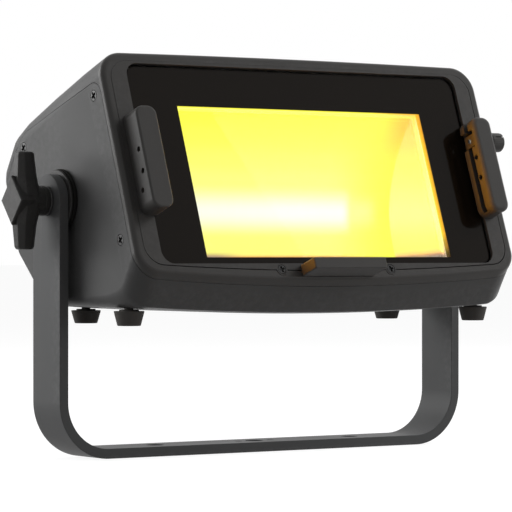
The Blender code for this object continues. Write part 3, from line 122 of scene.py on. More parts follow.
def bowed(foot, head, foot_steps=14):
    """An outline whose foot and head are curves between round corners. Each is given as its
    curve, where its corner starts, and the corner's width and height."""
    foot_at, foot_half, foot_wide, foot_tall = foot
    head_at, head_half, head_wide, head_tall = head
    low = foot_at(foot_half) + foot_tall
    high = head_at(head_half) - head_tall
    spread = [i / 8 - 1 for i in range(1, 16)]
    return (
        [(foot_half * s, foot_at(foot_half * s)) for s in spread]
        + arc(foot_half, low, foot_wide, -90, 0, foot_steps, foot_tall)
        + arc(head_half, high, head_wide, 0, 90, 14, head_tall)
        + [(-head_half * s, head_at(head_half * s)) for s in spread]
        + arc(-head_half, high, head_wide, 90, 180, 14, head_tall)
        + arc(-foot_half, low, foot_wide, 180, 270, foot_steps, foot_tall)
    )


def softened(points, closed=False, steps=4):
    """A line of (x, y, radius) points with an arc of that radius at each corner."""
    out = []
    count = len(points)
    for i, (x, y, radius) in enumerate(points):
        here = Vector((x, y))
        if radius == 0 or (not closed and i in (0, count - 1)):
            out.append((x, y))
            continue
        back = Vector(points[i - 1][:2]) - here
        ahead = Vector(points[(i + 1) % count][:2]) - here
        half = back.angle(ahead) / 2
        reach = min(radius / math.tan(half), 0.48 * back.length, 0.48 * ahead.length)
        r = reach * math.tan(half)
        back.normalize()
        ahead.normalize()
        centre = here + (back + ahead).normalized() * r / math.sin(half)
        first = here + back * reach - centre
        last = here + ahead * reach - centre
        sweep = math.pi - 2 * half
        for k in range(steps + 1):
            share = k / steps
            spoke = first * math.sin((1 - share) * sweep) + last * math.sin(share * sweep)
            out.append(tuple(centre + spoke / math.sin(sweep)))
    return out


def at_depth(outline, z):
    return [(x, y, z) for x, y in outline]


# Solids. Each shape is a bmesh until it is cut, eased or placed.


def bridge(bm, near, far):
    """Faces between two rings. A ring of one point is a pole."""
    if len(near) == 1 and len(far) == 1:
        return
    count = max(len(near), len(far))
    for i in range(count):
        j = (i + 1) % count
        if len(near) == 1:
            bm.faces.new((near[0], far[j], far[i]))
        elif len(far) == 1:
            bm.faces.new((near[i], near[j], far[0]))
        else:
            bm.faces.new((near[i], near[j], far[j], far[i]))


def loft(rings):
    """Joins rings of points, each as long as the next, and caps both ends."""
    bm = bmesh.new()
    loops = [[bm.verts.new(point) for point in ring] for ring in rings]
    for near, far in zip(loops, loops[1:]):
        bridge(bm, near, far)
    bm.faces.new(list(reversed(loops[0])))
    bm.faces.new(loops[-1])
    return bm


def prism(outline, low, high):
    return loft([at_depth(outline, z) for z in (low, high)])


def box(low, high):
    (x0, y0, z0), (x1, y1, z1) = low, high
    return prism([(x0, y0), (x1, y0), (x1, y1), (x0, y1)], z0, z1)


def lathe(profile, sides=64, closed=False, ribs=0, rib_depth=0, ribs_beyond=0):
    """Turns (radius, height) points about z. Ribs run along what lies beyond a radius."""
    bm = bmesh.new()
    rings = []
    for radius, height in profile:
        if radius < 1e-6:
            rings.append([bm.verts.new((0, 0, height))])
            continue
        ring = []
        for k in range(sides):
            turn = 2 * math.pi * k / sides
            r = radius
            if ribs and radius > ribs_beyond:
                r -= rib_depth * (0.5 - 0.5 * math.cos(turn * ribs)) ** 0.6
            ring.append(bm.verts.new((r * math.cos(turn), r * math.sin(turn), height)))
        rings.append(ring)
    pairs = list(zip(rings, rings[1:]))
    if closed:
        pairs.append((rings[-1], rings[0]))
    for near, far in pairs:
        bridge(bm, near, far)
    return bm


def turned(profile, sides, steps=4):
    """Turns a line of (radius, height, corner radius) points about z."""
    return lathe(softened(profile, steps=steps), sides)


def round_bar(radius, start, end, sides=32):
    start = Vector(start)
    end = Vector(end)
    turn = Vector((0, 0, 1)).rotation_difference(end - start).to_matrix().to_4x4()
    bm = bmesh.new()
    bmesh.ops.create_cone(
        bm,
        cap_ends=True,
        segments=sides,
        radius1=radius,
        radius2=radius,
        depth=(end - start).length,
        matrix=Matrix.Translation((start + end) / 2) @ turn,
    )
    return bm


def post(radius, x, y, low, high, sides=32):
    """A round bar along z."""
    return round_bar(radius, (x, y, low), (x, y, high), sides)


def rod(radius, y, z, start, end, sides=32):
    """A round bar along x."""
    return round_bar(radius, (start, y, z), (end, y, z), sides)


def shifted(x, y, z):
    return Matrix.Translation((x, y, z))


def facing(side):
    """Turns what is drawn along z so that it points out of that side."""
    return Matrix.Rotation(side * math.pi / 2, 4, "Y")


def moved(bm, matrix):
    bm.transform(matrix)
    return bm


def solid(shape):
    """The object that a bmesh describes. An object is given back as it is."""
    if not isinstance(shape, bmesh.types.BMesh):
        return shape
    bmesh.ops.recalc_face_normals(shape, faces=shape.faces)
    mesh = bpy.data.meshes.new("blank")
    shape.to_mesh(mesh)
    shape.free()
    made = bpy.data.objects.new("blank", mesh)
    bpy.context.scene.collection.objects.link(made)
    return made


def modify(made, kind, **settings):
    """Puts the result of one modifier into the mesh."""
    step = made.modifiers.new("step", kind)
    for key, value in settings.items():
        setattr(step, key, value)
    graph = bpy.context.evaluated_depsgraph_get()
    old = made.data
    mesh = bpy.data.meshes.new_from_object(made.evaluated_get(graph))
    made.modifiers.clear()
    made.data = mesh
    bpy.data.meshes.remove(old)


def carve(shape, *cutters, how="DIFFERENCE"):
    """Cuts each cutter from the shape, joins it or keeps what both share."""
    made = solid(shape)
    for cutter in cutters:
        other = solid(cutter)
        modify(made, "BOOLEAN", operation=how, solver="EXACT", object=other)
        bpy.data.objects.remove(other, do_unlink=True)
    return made


def join(shape, *others):
    return carve(shape, *others, how="UNION")


def ease(shape, width, segments=2, angle=35):
    """Rounds every edge sharper than the angle."""
    made = solid(shape)
    modify(made, "BEVEL", width=width, segments=segments, limit_method="ANGLE",
           angle_limit=math.radians(angle), miter_outer="MITER_ARC")
    return made


def dress(mesh, finish):
    """Gives the whole mesh one finish."""
    mesh.materials.clear()
    mesh.materials.append(finish)
    for polygon in mesh.polygons:
        polygon.material_index = 0


def place(shape, name, replaced, finish, sharp=32, body="head", where=PANEL):
    """Moves a piece into the row frame and gives it its CAD node, finish and body."""
    made = solid(shape)
    made.name = name
    made.data.name = name
    made.data.transform(METRES @ where)
    dress(made.data, finish)
    made.data.shade_smooth()
    made.data.set_sharp_from_angle(angle=math.radians(sharp))
    even = made.modifiers.new("even_normals", "WEIGHTED_NORMAL")
    even.keep_sharp = True
    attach(made, body)
    if replaced:
        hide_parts(replaced)


# Nodes


class Wire:
    """A node's output. It adds, multiplies and compares as a number does, through new nodes."""

    def __init__(self, socket):
        self.socket = socket
        self.tree = socket.id_data

    def maths(self, operation, other=0, clamp=False):
        values = {0: self, 1: other}
        return wire(self.tree, "ShaderNodeMath", values, operation=operation, use_clamp=clamp)

    def __add__(self, other):
        return self.maths("ADD", other)

    def __sub__(self, other):
        return self.maths("SUBTRACT", other)

    def __mul__(self, other):
        return self.maths("MULTIPLY", other)

    def __abs__(self):
        return self.maths("ABSOLUTE")

    def under(self, limit):
        return self.maths("LESS_THAN", limit)

    def larger(self, other):
        return self.maths("MAXIMUM", other)

    def span(self, low, high, to_low=0, to_high=1, kind="SMOOTHSTEP"):
        """The value, carried from one range to another."""
        values = {"Value": self, 1: low, 2: high, 3: to_low, 4: to_high}
        return wire(self.tree, "ShaderNodeMapRange", values, interpolation_type=kind)

    def blend(self, a, b):
        """Colour a where the value is 0, colour b where it is 1."""
        return blend(self.tree, self, a, b)

    def feed(self, target, label):
        self.tree.links.new(self.socket, target.inputs[label])


def fill(tree, made, values):
    """Sets a node's inputs, by name or number, to values or wires."""
    for key, value in values.items():
        socket = made.inputs[key]
        if isinstance(value, Wire):
            tree.links.new(value.socket, socket)
        elif socket.type == "RGBA":
            socket.default_value = (*value, 1)
        else:
            socket.default_value = value


def node(tree, kind, values=None, **settings):
    made = tree.nodes.new(kind)
    for key, value in settings.items():
        setattr(made, key, value)
    fill(tree, made, values or {})
    return made


def wire(tree, kind, values=None, output=0, **settings):
    """A new node's output."""
    return Wire(node(tree, kind, values, **settings).outputs[output])


def blend(tree, share, a, b, kind="MIX"):
    values = {0: share, 6: a, 7: b}
    return wire(tree, "ShaderNodeMix", values, 2, data_type="RGBA", blend_type=kind)


def point_on(tree):
    """The point on a piece, in metres."""
    return wire(tree, "ShaderNodeTexCoord", output="Object")


def noise(tree, scale, detail=3, roughness=0.55, stretch=None):
    """Noise fixed to the piece, at a scale per metre."""
    where = point_on(tree)
    if stretch:
        where = wire(tree, "ShaderNodeMapping", {"Vector": where, "Scale": stretch})
    values = {"Vector": where, "Scale": scale, "Detail": detail, "Roughness": roughness}
    return wire(tree, "ShaderNodeTexNoise", values)


# Effects that several finishes share, each a node group


def effect(name, inputs, outputs):
    """An empty node group with named sockets. Returns it, its inputs and its output node."""
    tree = bpy.data.node_groups.new(name, "ShaderNodeTree")
    for label, value in inputs.items():
        kind = "NodeSocketColor" if isinstance(value, tuple) else "NodeSocketFloat"
        socket = tree.interface.new_socket(name=label, in_out="INPUT", socket_type=kind)
        socket.default_value = value
    for label in outputs:
        kind = "NodeSocketColor" if label == "Color" else "NodeSocketFloat"
        tree.interface.new_socket(name=label, in_out="OUTPUT", socket_type=kind)
    given = tree.nodes.new("NodeGroupInput").outputs
    return tree, [Wire(given[label]) for label in inputs], tree.nodes.new("NodeGroupOutput")


def make_drift():
    """Slow changes of tone over a surface."""
    inputs = {"Color": (0.5, 0.5, 0.5, 1), "Amount": 0.1}
    tree, (colour, amount), out = effect("tone_drift", inputs, ["Color"])
    both = noise(tree, 14, 2) * 0.65 + noise(tree, 160, 4) * 0.35
    gain = (both - 0.5) * amount * 2 + 1
    grey = wire(tree, "ShaderNodeCombineColor", {0: gain, 1: gain, 2: gain})
    blend(tree, 1, colour, grey, "MULTIPLY").feed(out, "Color")
    return tree


def make_grain():
    """The relief of a sprayed or moulded skin: small domes with finer grain between them."""
    inputs = {"Scale": 900, "Fineness": 0.5}
    tree, (scale, fineness), out = effect("skin_grain", inputs, ["Height", "Fleck"])
    where = point_on(tree)
    cells = wire(tree, "ShaderNodeTexVoronoi", {"Vector": where, "Scale": scale}, "Distance")
    fine = wire(tree, "ShaderNodeTexNoise", {"Vector": where, "Scale": scale, "Detail": 5})
    domes = cells * -1 + 1
    wire(tree, "ShaderNodeMix", {0: fineness, 2: domes, 3: fine}).feed(out, "Height")
    fine.span(0.62, 0.74).feed(out, "Fleck")
    return tree


def make_wear():
    """Rubbed edges, broken up by noise."""
    inputs = {"Amount": 0.5, "Reach": 0.06}
    tree, (amount, reach), out = effect("rubbed_edges", inputs, ["Mask"])
    bend = wire(tree, "ShaderNodeNewGeometry", output="Pointiness")
    edge = bend.span(0.52, reach + 0.52)
    patchy = noise(tree, 210, 5, 0.7).span(0.35, 0.75)
    (edge * patchy).maths("MULTIPLY", amount, clamp=True).feed(out, "Mask")
    return tree


def make_dust():
    """Fine dust, thickest on what faces up when the lamp stands level."""
    tree, (amount,), out = effect("settled_dust", {"Amount": 0.3}, ["Mask"])
    normal = wire(tree, "ShaderNodeTexCoord", output="Normal")
    up = wire(tree, "ShaderNodeSeparateXYZ", {0: normal}, 2)
    cloud = noise(tree, 38, 6, 0.62).span(0.38, 0.72)
    speck = noise(tree, 1500, 2).span(0.63, 0.7)
    both = (cloud * 0.7 + speck * 0.5) * up.span(0.2, 1, 0.12, 1)
    both.maths("MULTIPLY", amount, clamp=True).feed(out, "Mask")
    return tree


def make_handling():
    """Where hands have polished or greased a surface: a change of roughness."""
    inputs = {"Roughness": 0.5, "Swing": 0.1}
    tree, (rough, swing), out = effect("handling", inputs, ["Roughness"])
    change = (noise(tree, 26, 4, 0.6) - 0.5) * swing
    (rough + change * 2).feed(out, "Roughness")
    return tree


DRIFT = make_drift()
GRAIN = make_grain()
WEAR = make_wear()
DUST = make_dust()
HANDLING = make_handling()
DUST_COLOUR = (0.3, 0.28, 0.25)


def use(tree, shared, **values):
    """One of the shared effects in a material, with its own values. Returns its outputs."""
    made = tree.nodes.new("ShaderNodeGroup")
    made.node_tree = shared
    fill(tree, made, values)
    return [Wire(socket) for socket in made.outputs]


# Finishes


def blank_finish(name, **constants):
    """A material with its shader's plain values set. Returns the material, tree and shader."""
    made = bpy.data.materials.new(name)
    made.use_nodes = True
    shader = made.node_tree.nodes["Principled BSDF"]
    for key, value in constants.items():
        shader.inputs[key.replace("_", " ")].default_value = value
    return made, made.node_tree, shader


def finished(name, build, **constants):
    """A material whose nodes a function builds on its plain shader."""
    made, tree, shader = blank_finish(name, **constants)
    build(tree, shader)
    return made


def tint(tree, shader, colour, amount):
    """Gives the shader a colour that drifts a little."""
    use(tree, DRIFT, Color=colour, Amount=amount)[0].feed(shader, "Base Color")


def roughen(tree, shader, rough, swing):
    use(tree, HANDLING, Roughness=rough, Swing=swing)[0].feed(shader, "Roughness")


def relief(tree, shader, height, depth):
    """Joins a height to the shader's normal, depth in metres."""
    values = {"Height": height, "Distance": depth, "Strength": 1}
    wire(tree, "ShaderNodeBump", values).feed(shader, "Normal")


def glow_with(shader, colour, strength=1):
    colour.feed(shader, "Emission Color")
    shader.inputs["Emission Strength"].default_value = strength


def coated(name, colour, rough, specular, grain, depth, fineness, drift=0.08, wear=0.25,
           worn=(0.3, 0.3, 0.3), dust=0.12, fleck=0):
    """Paint or moulded plastic: grain, tone, rubbed edges and dust over a plain shader."""
    made, tree, shader = blank_finish(name, Specular_IOR_Level=specular)
    height, flecks = use(tree, GRAIN, Scale=grain, Fineness=fineness)
    tone = use(tree, DRIFT, Color=colour, Amount=drift)[0]
    if fleck:
        tone = (flecks * fleck).blend(tone, tuple(1.6 * c for c in colour))
    edges = use(tree, WEAR, Amount=wear)[0]
    film = use(tree, DUST, Amount=dust)[0]
    film.blend(edges.blend(tone, worn), DUST_COLOUR).feed(shader, "Base Color")
    feel = use(tree, HANDLING, Roughness=rough, Swing=0.08)[0]
    (feel - edges * 0.15 + film * 0.2).feed(shader, "Roughness")
    relief(tree, shader, height, depth)
    return made


def bare_metal(name, colour, rough, stretch, wear=0.3):
    """Drawn, rolled or plated metal, with its lines along one direction."""
    made, tree, shader = blank_finish(name, Metallic=1)
    lines = noise(tree, 1, 6, 0.7, stretch)
    tone = use(tree, DRIFT, Color=colour, Amount=0.06)[0]
    tone = lines.span(0.3, 0.75, 0, 0.35).blend(tone, (0.1, 0.09, 0.08))
    tone = use(tree, DUST, Amount=0.2)[0].blend(tone, DUST_COLOUR)
    bright = use(tree, WEAR, Amount=wear)[0]
    bright.blend(tone, tuple(1.4 * c for c in colour)).feed(shader, "Base Color")
    feel = use(tree, HANDLING, Roughness=rough, Swing=0.12)[0]
    (feel + lines.span(0.3, 0.8, 0, 0.15)).feed(shader, "Roughness")
    relief(tree, shader, lines, 0.00002)
    return made


YOKE_PAINT = coated(
    "yoke_powder_coat", (0.086, 0.087, 0.088), 0.5, 0.14, 1500, 0.00005, 0.45,
    drift=0.045, wear=0.3, worn=(0.17, 0.17, 0.17), dust=0.04, fleck=0.2,
)
HOUSING_PAINT = coated(
    "housing_powder_coat", (0.068, 0.068, 0.068), 0.46, 0.14, 1900, 0.00003, 0.5,
    drift=0.04, wear=0.2, worn=(0.15, 0.15, 0.148), dust=0.035, fleck=0.12,
)
BEZEL_PLASTIC = coated(
    "bezel_moulding", (0.06, 0.058, 0.056), 0.34, 0.14, 2300, 0.00002, 0.7,
    drift=0.04, worn=(0.11, 0.107, 0.104), dust=0.03,
)
HOLDER_PLASTIC = coated(
    "holder_moulding", (0.065, 0.063, 0.061), 0.4, 0.12, 2600, 0.00002, 0.75,
    drift=0.05, wear=0.3, worn=(0.12, 0.117, 0.113), dust=0.03,
)
KNOB_PLASTIC = coated(
    "glass_filled_nylon", (0.03, 0.029, 0.028), 0.42, 0.15, 1300, 0.00003, 0.8,
    wear=0.3, worn=(0.07, 0.068, 0.066), dust=0.05, fleck=0.4,
)
SOCKET_PLASTIC = coated(
    "socket_nylon", (0.026, 0.026, 0.028), 0.4, 0.2, 2100, 0.00003, 0.8,
    worn=(0.07, 0.07, 0.07), dust=0.06,
)
RUBBER = coated(
    "foot_rubber", (0.075, 0.071, 0.067), 0.72, 0.12, 1700, 0.00005, 0.6,
    drift=0.12, wear=0.3, worn=(0.06, 0.058, 0.056),
)
BUTTON_RUBBER = coated(
    "button_rubber", (0.045, 0.045, 0.045), 0.6, 0.15, 2400, 0.00003, 0.8,
    wear=0.4, worn=(0.09, 0.09, 0.09), dust=0.08,
)
FIBRE = coated(
    "pressed_fibre", (0.012, 0.0115, 0.011), 0.85, 0.05, 900, 0.0001, 0.9,
    drift=0.2, wear=0.3, worn=(0.09, 0.088, 0.085), dust=0.1, fleck=0.5,
)
BLACK_STEEL = coated(
    "blacked_steel", (0.03, 0.03, 0.03), 0.38, 0.35, 2600, 0.00002, 0.8,
    wear=0.6, worn=(0.24, 0.235, 0.23), dust=0.05,
)
STEEL = bare_metal("zinc_plated_steel", (0.5, 0.5, 0.49), 0.32, (900, 900, 900))
ALUMINIUM = bare_metal("cut_aluminium", (0.6, 0.6, 0.61), 0.36, (250, 250, 3000))
FIN_ALUMINIUM = bare_metal("black_anodised_fins", (0.07, 0.07, 0.072), 0.4, (3000, 200, 200), 0.5)


def glass(tree, shader):
    """The clear pane, faintly greasy so that its gloss isn't perfect."""
    tint(tree, shader, (0.98, 0.985, 0.98), 0.02)
    noise(tree, 22, 5, 0.65).span(0.45, 0.8, 0, 0.02).feed(shader, "Roughness")


def black_print(tree, shader):
    """The glossy black border baked on to the pane."""
    tint(tree, shader, (0.0095, 0.0068, 0.0047), 0.12)
    roughen(tree, shader, 0.07, 0.02)
    relief(tree, shader, use(tree, GRAIN, Scale=300, Fineness=0.9)[0], 0.000002)


def split(point):
    """A point's x, y and z."""
    parts = node(point.tree, "ShaderNodeSeparateXYZ", {0: point}).outputs
    return [Wire(socket) for socket in parts]


def panel_place(tree):
    """The point on a piece in the panel's frame, in millimetres, as x, y and z."""
    start = (0, PANEL_Y / 1000, PANEL_Z / 1000)
    values = {0: point_on(tree), 1: start}
    offset = wire(tree, "ShaderNodeVectorMath", values, operation="SUBTRACT")
    values = {"Vector": offset, "Angle": LEAN - math.pi / 2}
    level = wire(tree, "ShaderNodeVectorRotate", values, rotation_type="X_AXIS")
    values = {0: level, "Scale": 1000}
    return split(wire(tree, "ShaderNodeVectorMath", values, operation="SCALE"))


def ramp(value, low, high, stops):
    """A colour that changes with the value, from stops of (value, colour)."""
    share = value.span(low, high, kind="LINEAR")
    made = node(value.tree, "ShaderNodeValToRGB", {0: share})
    colours = made.color_ramp
    colours.interpolation = "EASE"
    while len(colours.elements) < len(stops):
        colours.elements.new(0.5)
    for element, (at, colour) in zip(colours.elements, stops):
        element.position = (at - low) / (high - low)
        element.color = (*colour, 1)
    return Wire(made.outputs[0])


def finish_glow(tree, shader, glow):
    """The fine drawn lines of a sheet with painted glow, which break that glow up a little."""
    lines = noise(tree, 1, 4, 0.6, (6000, 60, 60))
    glow_with(shader, lines.span(0.35, 0.75, 0, 0.05).blend(glow, (1, 0.8, 0.1)))
    tint(tree, shader, (0.05, 0.04, 0.012), 0.1)
    relief(tree, shader, lines, 0.00001)


def lit_sheet(tree, shader):
    """Painted glow of the reflector sheet, for the emitters' light: a painted white reflection band
    where it mirrors them, yellow above and below, amber towards its upper corner, darker at its
    foot."""
    x, y, _ = panel_place(tree)
    glow = ramp(y, 0, 110, (
        (8, (0.3, 0.18, 0.1)), (17.5, (0.8, 0.36, 0.13)), (19.2, (0.96, 0.5, 0.13)),
        (21, (1, 0.93, 0.21)), (24, (1, 1, 0.215)), (72, (1, 1, 0.243)),
        (84, (1, 1, 0.175)), (96, (1, 1, 0.113)), (106, (1, 1, 0.08)),
    ))
    ends = x.span(40, 99).larger(x.span(-99, -85, 1, 0))
    glow = ends.blend(glow, (1, 1, 0.075))
    amber = x.span(74, 104) * y.span(78, 108)
    glow = amber.blend(glow, (1, 0.6, 0.055))
    # Painted reflection: a white band where the sheet mirrors the emitters, with a fainter, wider
    # tail reaching further right.
    away = abs(y - 52.2)
    painted_reflection_band = away.span(0, 19, 1, 0) * x.span(59, 71, 1, 0)
    painted_reflection_band = painted_reflection_band * x.span(-100, 20, 0.8, 0.94, "LINEAR")
    painted_reflection_tail = away.span(0, 17, 0.2, 0) * x.span(82, 96, 1, 0)
    glow = painted_reflection_band.larger(painted_reflection_tail).blend(glow, (1, 1, 1))
    # Painted shadow: a darker brown wedge in the glow at the sheet's lower left.
    corner = y.span(18.5, 23.6, 1, 0) * x.span(-60, -28, 1, 0)
    finish_glow(tree, shader, corner.blend(glow, (0.36, 0.24, 0.19)))


def cheek_glow(tree):
    """The painted glow of the reflector's ends, set by the height above the panel's foot: whitest
    a little above the foot, amber towards the top, and a painted brown shade at the foot.
    """
    _, depth, up = split(point_on(tree))
    height = up * 1000 - PANEL_Z
    glow = ramp(height, -10, 110, (
        (0, (1, 1, 0.165)), (12, (1, 1, 0.19)), (18, (1, 1, 0.24)),
        (29, (1, 1, 0.295)), (41, (1, 1, 0.255)), (53, (1, 1, 0.205)),
        (63, (1, 1, 0.175)), (70, (1, 0.94, 0.168)), (83, (1, 0.815, 0.16)),
        (90, (1, 0.775, 0.148)), (97, (1, 0.69, 0.12)), (103, (1, 0.58, 0.07)),
    ))
    near = depth.span(-0.085, -0.065, -1, 0.5, "LINEAR")
    leaned = height + (near + depth.span(-0.057, -0.03, 0, 1.6, "LINEAR"))
    # Painted shade: the glow turns dark brown at the foot of the ends.
    foot = ramp(leaned, -6, 8, (
        (-3.5, (0.22, 0.16, 0.13)), (-2.6, (0.27, 0.188, 0.15)), (-1.9, (0.4, 0.25, 0.168)),
        (-1.2, (0.54, 0.29, 0.156)), (-0.4, (0.79, 0.43, 0.16)), (0.4, (1, 0.7, 0.2)),
        (2, (1, 0.83, 0.19)), (3.5, (1, 1, 0.17)),
    ))
    return leaned.span(2.5, 4).blend(foot, glow)


def lit_cheek(tree, shader):
    # Painted glow on the reflector's ends.
    finish_glow(tree, shader, cheek_glow(tree))


def bulkhead(tree, shader):
    """Cut sheet behind the pane. The edge of its window carries a painted glow, as the reflector's
    ends do, dimmer and browner towards its foot.
    """
    x, y, z = panel_place(tree)
    lines = noise(tree, 1, 5, 0.7, (300, 2500, 300))
    tint(tree, shader, (0.3, 0.3, 0.3), 0.08)
    lines.span(0.3, 0.8, 0.3, 0.5).feed(shader, "Roughness")
    # Painted glow on the edge of the window, none beyond it.
    lit = abs(x).under(107.8) * y.under(111.3) * y.maths("GREATER_THAN", -8)
    side = ramp(y, -8, 112, (
        (0, (0.42, 0.28, 0.2)), (7, (0.8, 0.6, 0.3)), (12, (1, 0.95, 0.32)), (100, (1, 0.8, 0.26)),
    ))
    right = x.span(60, 100)
    top = right.blend((1, 1, 0.2), (1, 0.66, 0.15))
    edge = right.blend((1, 1, 0.1), (1, 0.72, 0.08))
    top = y.span(109.7, 109.9).blend(edge, top)
    outer = z.span(-7.3, -6.9) * abs(x).span(105.7, 105.9)
    glow = y.span(107.6, 107.9).blend(outer.blend(cheek_glow(tree), side), top)
    glow_with(shader, lit.blend((0, 0, 0), glow))
    relief(tree, shader, lines, 0.00001)


def lit_liner(tree, shader):
    """The moulded sleeve between pane and bulkhead, with a painted orange glow for the light inside
    and painted shade that darkens it towards the bottom.
    """
    x, y, z = panel_place(tree)
    # Painted glow, from yellow at the back to deeper orange towards the pane.
    glow = ramp(z, -7, -3, (
        (-6.7, (1, 0.82, 0.1)), (-5.6, (1, 0.68, 0.03)), (-4.2, (1, 0.53, 0.02)),
        (-3.2, (0.9, 0.45, 0.03)),
    ))
    glow = y.span(80, 105, 0, 0.45).blend(glow, (0.95, 0.34, 0.03))
    # Painted shade: the glow darkens towards the sleeve's foot.
    painted_shade_below = ramp(y, -8, 112, (
        (-4, (0.03, 0.02, 0.02)), (2, (0.06, 0.05, 0.1)), (9, (0.45, 0.38, 0.6)), (18, (1, 1, 1)),
    ))
    glow = blend(tree, 1, glow, painted_shade_below, "MULTIPLY")
    top = x.span(60, 100).blend((1, 0.95, 0.05), (1, 0.55, 0.04))
    glow = y.span(110.4, 110.6).blend(glow, top)
    glow = noise(tree, 60).span(0.4, 0.7, 0, 0.1).blend(glow, (1, 0.7, 0.1))
    inside = abs(x).under(107.5) * y.under(111.1)
    glow_with(shader, inside.blend((0, 0, 0), glow))
    tint(tree, shader, (0.02, 0.02, 0.02), 0.1)
    relief(tree, shader, use(tree, GRAIN, Scale=2600, Fineness=0.8)[0], 0.00001)


def make_board_finish(name, lit):
    """Solder mask over copper tracks. The lit board's emitters stand proud and glow."""
    made, tree, shader = blank_finish(name, Specular_IOR_Level=0.4, Roughness=0.4)
    values = {"Vector": point_on(tree), "Scale": 260, "Randomness": 0.2}
    settings = {"feature": "DISTANCE_TO_EDGE", "distance": "CHEBYCHEV"}
    tracks = wire(tree, "ShaderNodeTexVoronoi", values, **settings)
    line = tracks.span(0.02, 0.08, 1, 0)
    mask = (0.75, 0.75, 0.72) if lit else (0.02, 0.1, 0.045)
    track = (0.6, 0.6, 0.56) if lit else (0.05, 0.2, 0.09)
    tint(tree, shader, line.blend(mask, track), 0.06)
    if lit:
        _, y, z = panel_place(tree)
        lean, board_y, board_z = math.radians(23.3), -10, -28
        out = y * math.cos(lean) + z * -math.sin(lean)
        board = board_y * math.cos(lean) - board_z * math.sin(lean)
        chips = out.span(board + 0.5, board + 1)
        glow_with(shader, chips.blend((0, 0, 0), (1, 0.85, 0.45)), 2)
    relief(tree, shader, line, 0.00003)
    return made


def display(tree, shader):
    """A dark display window with its dot matrix just showing through the tint."""
    values = {"Vector": point_on(tree), "Scale": 1100, "Randomness": 0}
    dots = wire(tree, "ShaderNodeTexVoronoi", values, distance="CHEBYCHEV")
    x, y, _ = panel_place(tree)
    inside = abs(x - 43).under(18) * abs(y - 93).under(6.4) * dots.span(0.3, 0.42, 1, 0)
    tone = inside.blend((0.008, 0.01, 0.012), (0.02, 0.05, 0.075))
    use(tree, DUST, Amount=0.08)[0].blend(tone, DUST_COLOUR).feed(shader, "Base Color")
    roughen(tree, shader, 0.12, 0.06)


PANE = finished("clear_pane", glass, Transmission_Weight=1, IOR=1.13)
BLACK_PRINT = finished("black_print", black_print, Specular_IOR_Level=0.09)
# Finishes with painted glow: the reflector sheet, its ends, the bulkhead's window edge and the
# liner.
REFLECTOR_SHEET = finished("lit_reflector", lit_sheet, Specular_IOR_Level=0.05, Roughness=0.5)
REFLECTOR_CHEEK = finished("lit_reflector_end", lit_cheek, Specular_IOR_Level=0.05, Roughness=0.5)
BULKHEAD = finished("bulkhead_sheet", bulkhead, Metallic=1)
LINER = finished("lit_liner", lit_liner, Specular_IOR_Level=0.1, Roughness=0.5)
LIT_BOARD = make_board_finish("emitter_board", True)
CONTROL_BOARD = make_board_finish("control_board_mask", False)
DISPLAY = finished("display_tint", display, Coat_Weight=0.6, Coat_Roughness=0.04)


def keep(finish, *names):
    """CAD nodes whose shape is right take a finish and stay."""
    for name in names:
        dress(frame["nodes"][name].data, finish)


# Yoke: a flat bar with round ends, drawn straight with its holes, then bent

BAR_HALF = 135
BEND = 36.5
ARM = 140
QUARTER = BEND * math.pi / 2
BAR_MIDDLE = 3.5
BEND_TOP = 40


def bend_point(point):
    """Carries a point of the straight bar (length, depth, thickness) on to the bent one."""
    s, y, t = point
    side = 1 if s >= 0 else -1
    run = abs(s)
    if run <= BAR_HALF:
        return Vector((s, y, BAR_MIDDLE - t))
    if run <= BAR_HALF + QUARTER:
        angle = (run - BAR_HALF) / BEND
        x = BAR_HALF + (BEND + t) * math.sin(angle)
        return Vector((side * x, y, BEND_TOP - (BEND + t) * math.cos(angle)))
    return Vector((side * (BAR_HALF + BEND + t), y, BEND_TOP + run - BAR_HALF - QUARTER))


def build_yoke():
    tip = BAR_HALF + QUARTER + ARM
    outline = arc(tip, 0, 18.5, -90, 90, 40) + arc(-tip, 0, 18.5, 90, 270, 40)
    holes = [
        (0, 6.75), (-85.5, 6.25), (85.5, 6.25), (-14, 2.6), (14, 2.6), (-tip, 5.36), (tip, 5.36),
    ]
    cutters = [post(r, s, 0, -6, 6, 48) for s, r in holes]
    bar = ease(carve(prism(outline, -BAR_MIDDLE, BAR_MIDDLE), *cutters), 0.9, 3, 50)
    bm = bmesh.new()
    bm.from_mesh(bar.data)
    cuts = [BAR_HALF + QUARTER * i / 26 for i in range(27)]
    for s in cuts + [-s for s in cuts]:
        geom = bm.verts[:] + bm.edges[:] + bm.faces[:]
        bmesh.ops.bisect_plane(bm, geom=geom, plane_co=(s, 0, 0), plane_no=(1, 0, 0))
    for vert in bm.verts:
        vert.co = bend_point(vert.co)
    bmesh.ops.recalc_face_normals(bm, faces=bm.faces)
    bm.to_mesh(bar.data)
    bm.free()
    place(bar, "bent_yoke", "yoke", YOKE_PAINT, body="yoke_body", where=FLOOR)


# Tilt clamps


def disc(outer, low, high, edge):
    """The profile of a ring round the stud, with an eased rim."""
    rim = [(STUD_BORE, high, 0.15), (outer, high, edge), (outer, low, edge), (STUD_BORE, low, 0.15)]
    return softened(rim, True)


def grip_ring(z, half_x, half_y, centre_x):
    """The knob's section at a height, a rectangle with cut corners."""
    k = 0.5
    corners = ((1, -k), (1, k), (k, 1), (-k, 1), (-1, k), (-1, -k), (-k, -1), (k, -1))
    return [(centre_x + half_x * a, half_y * b, z) for a, b in corners]


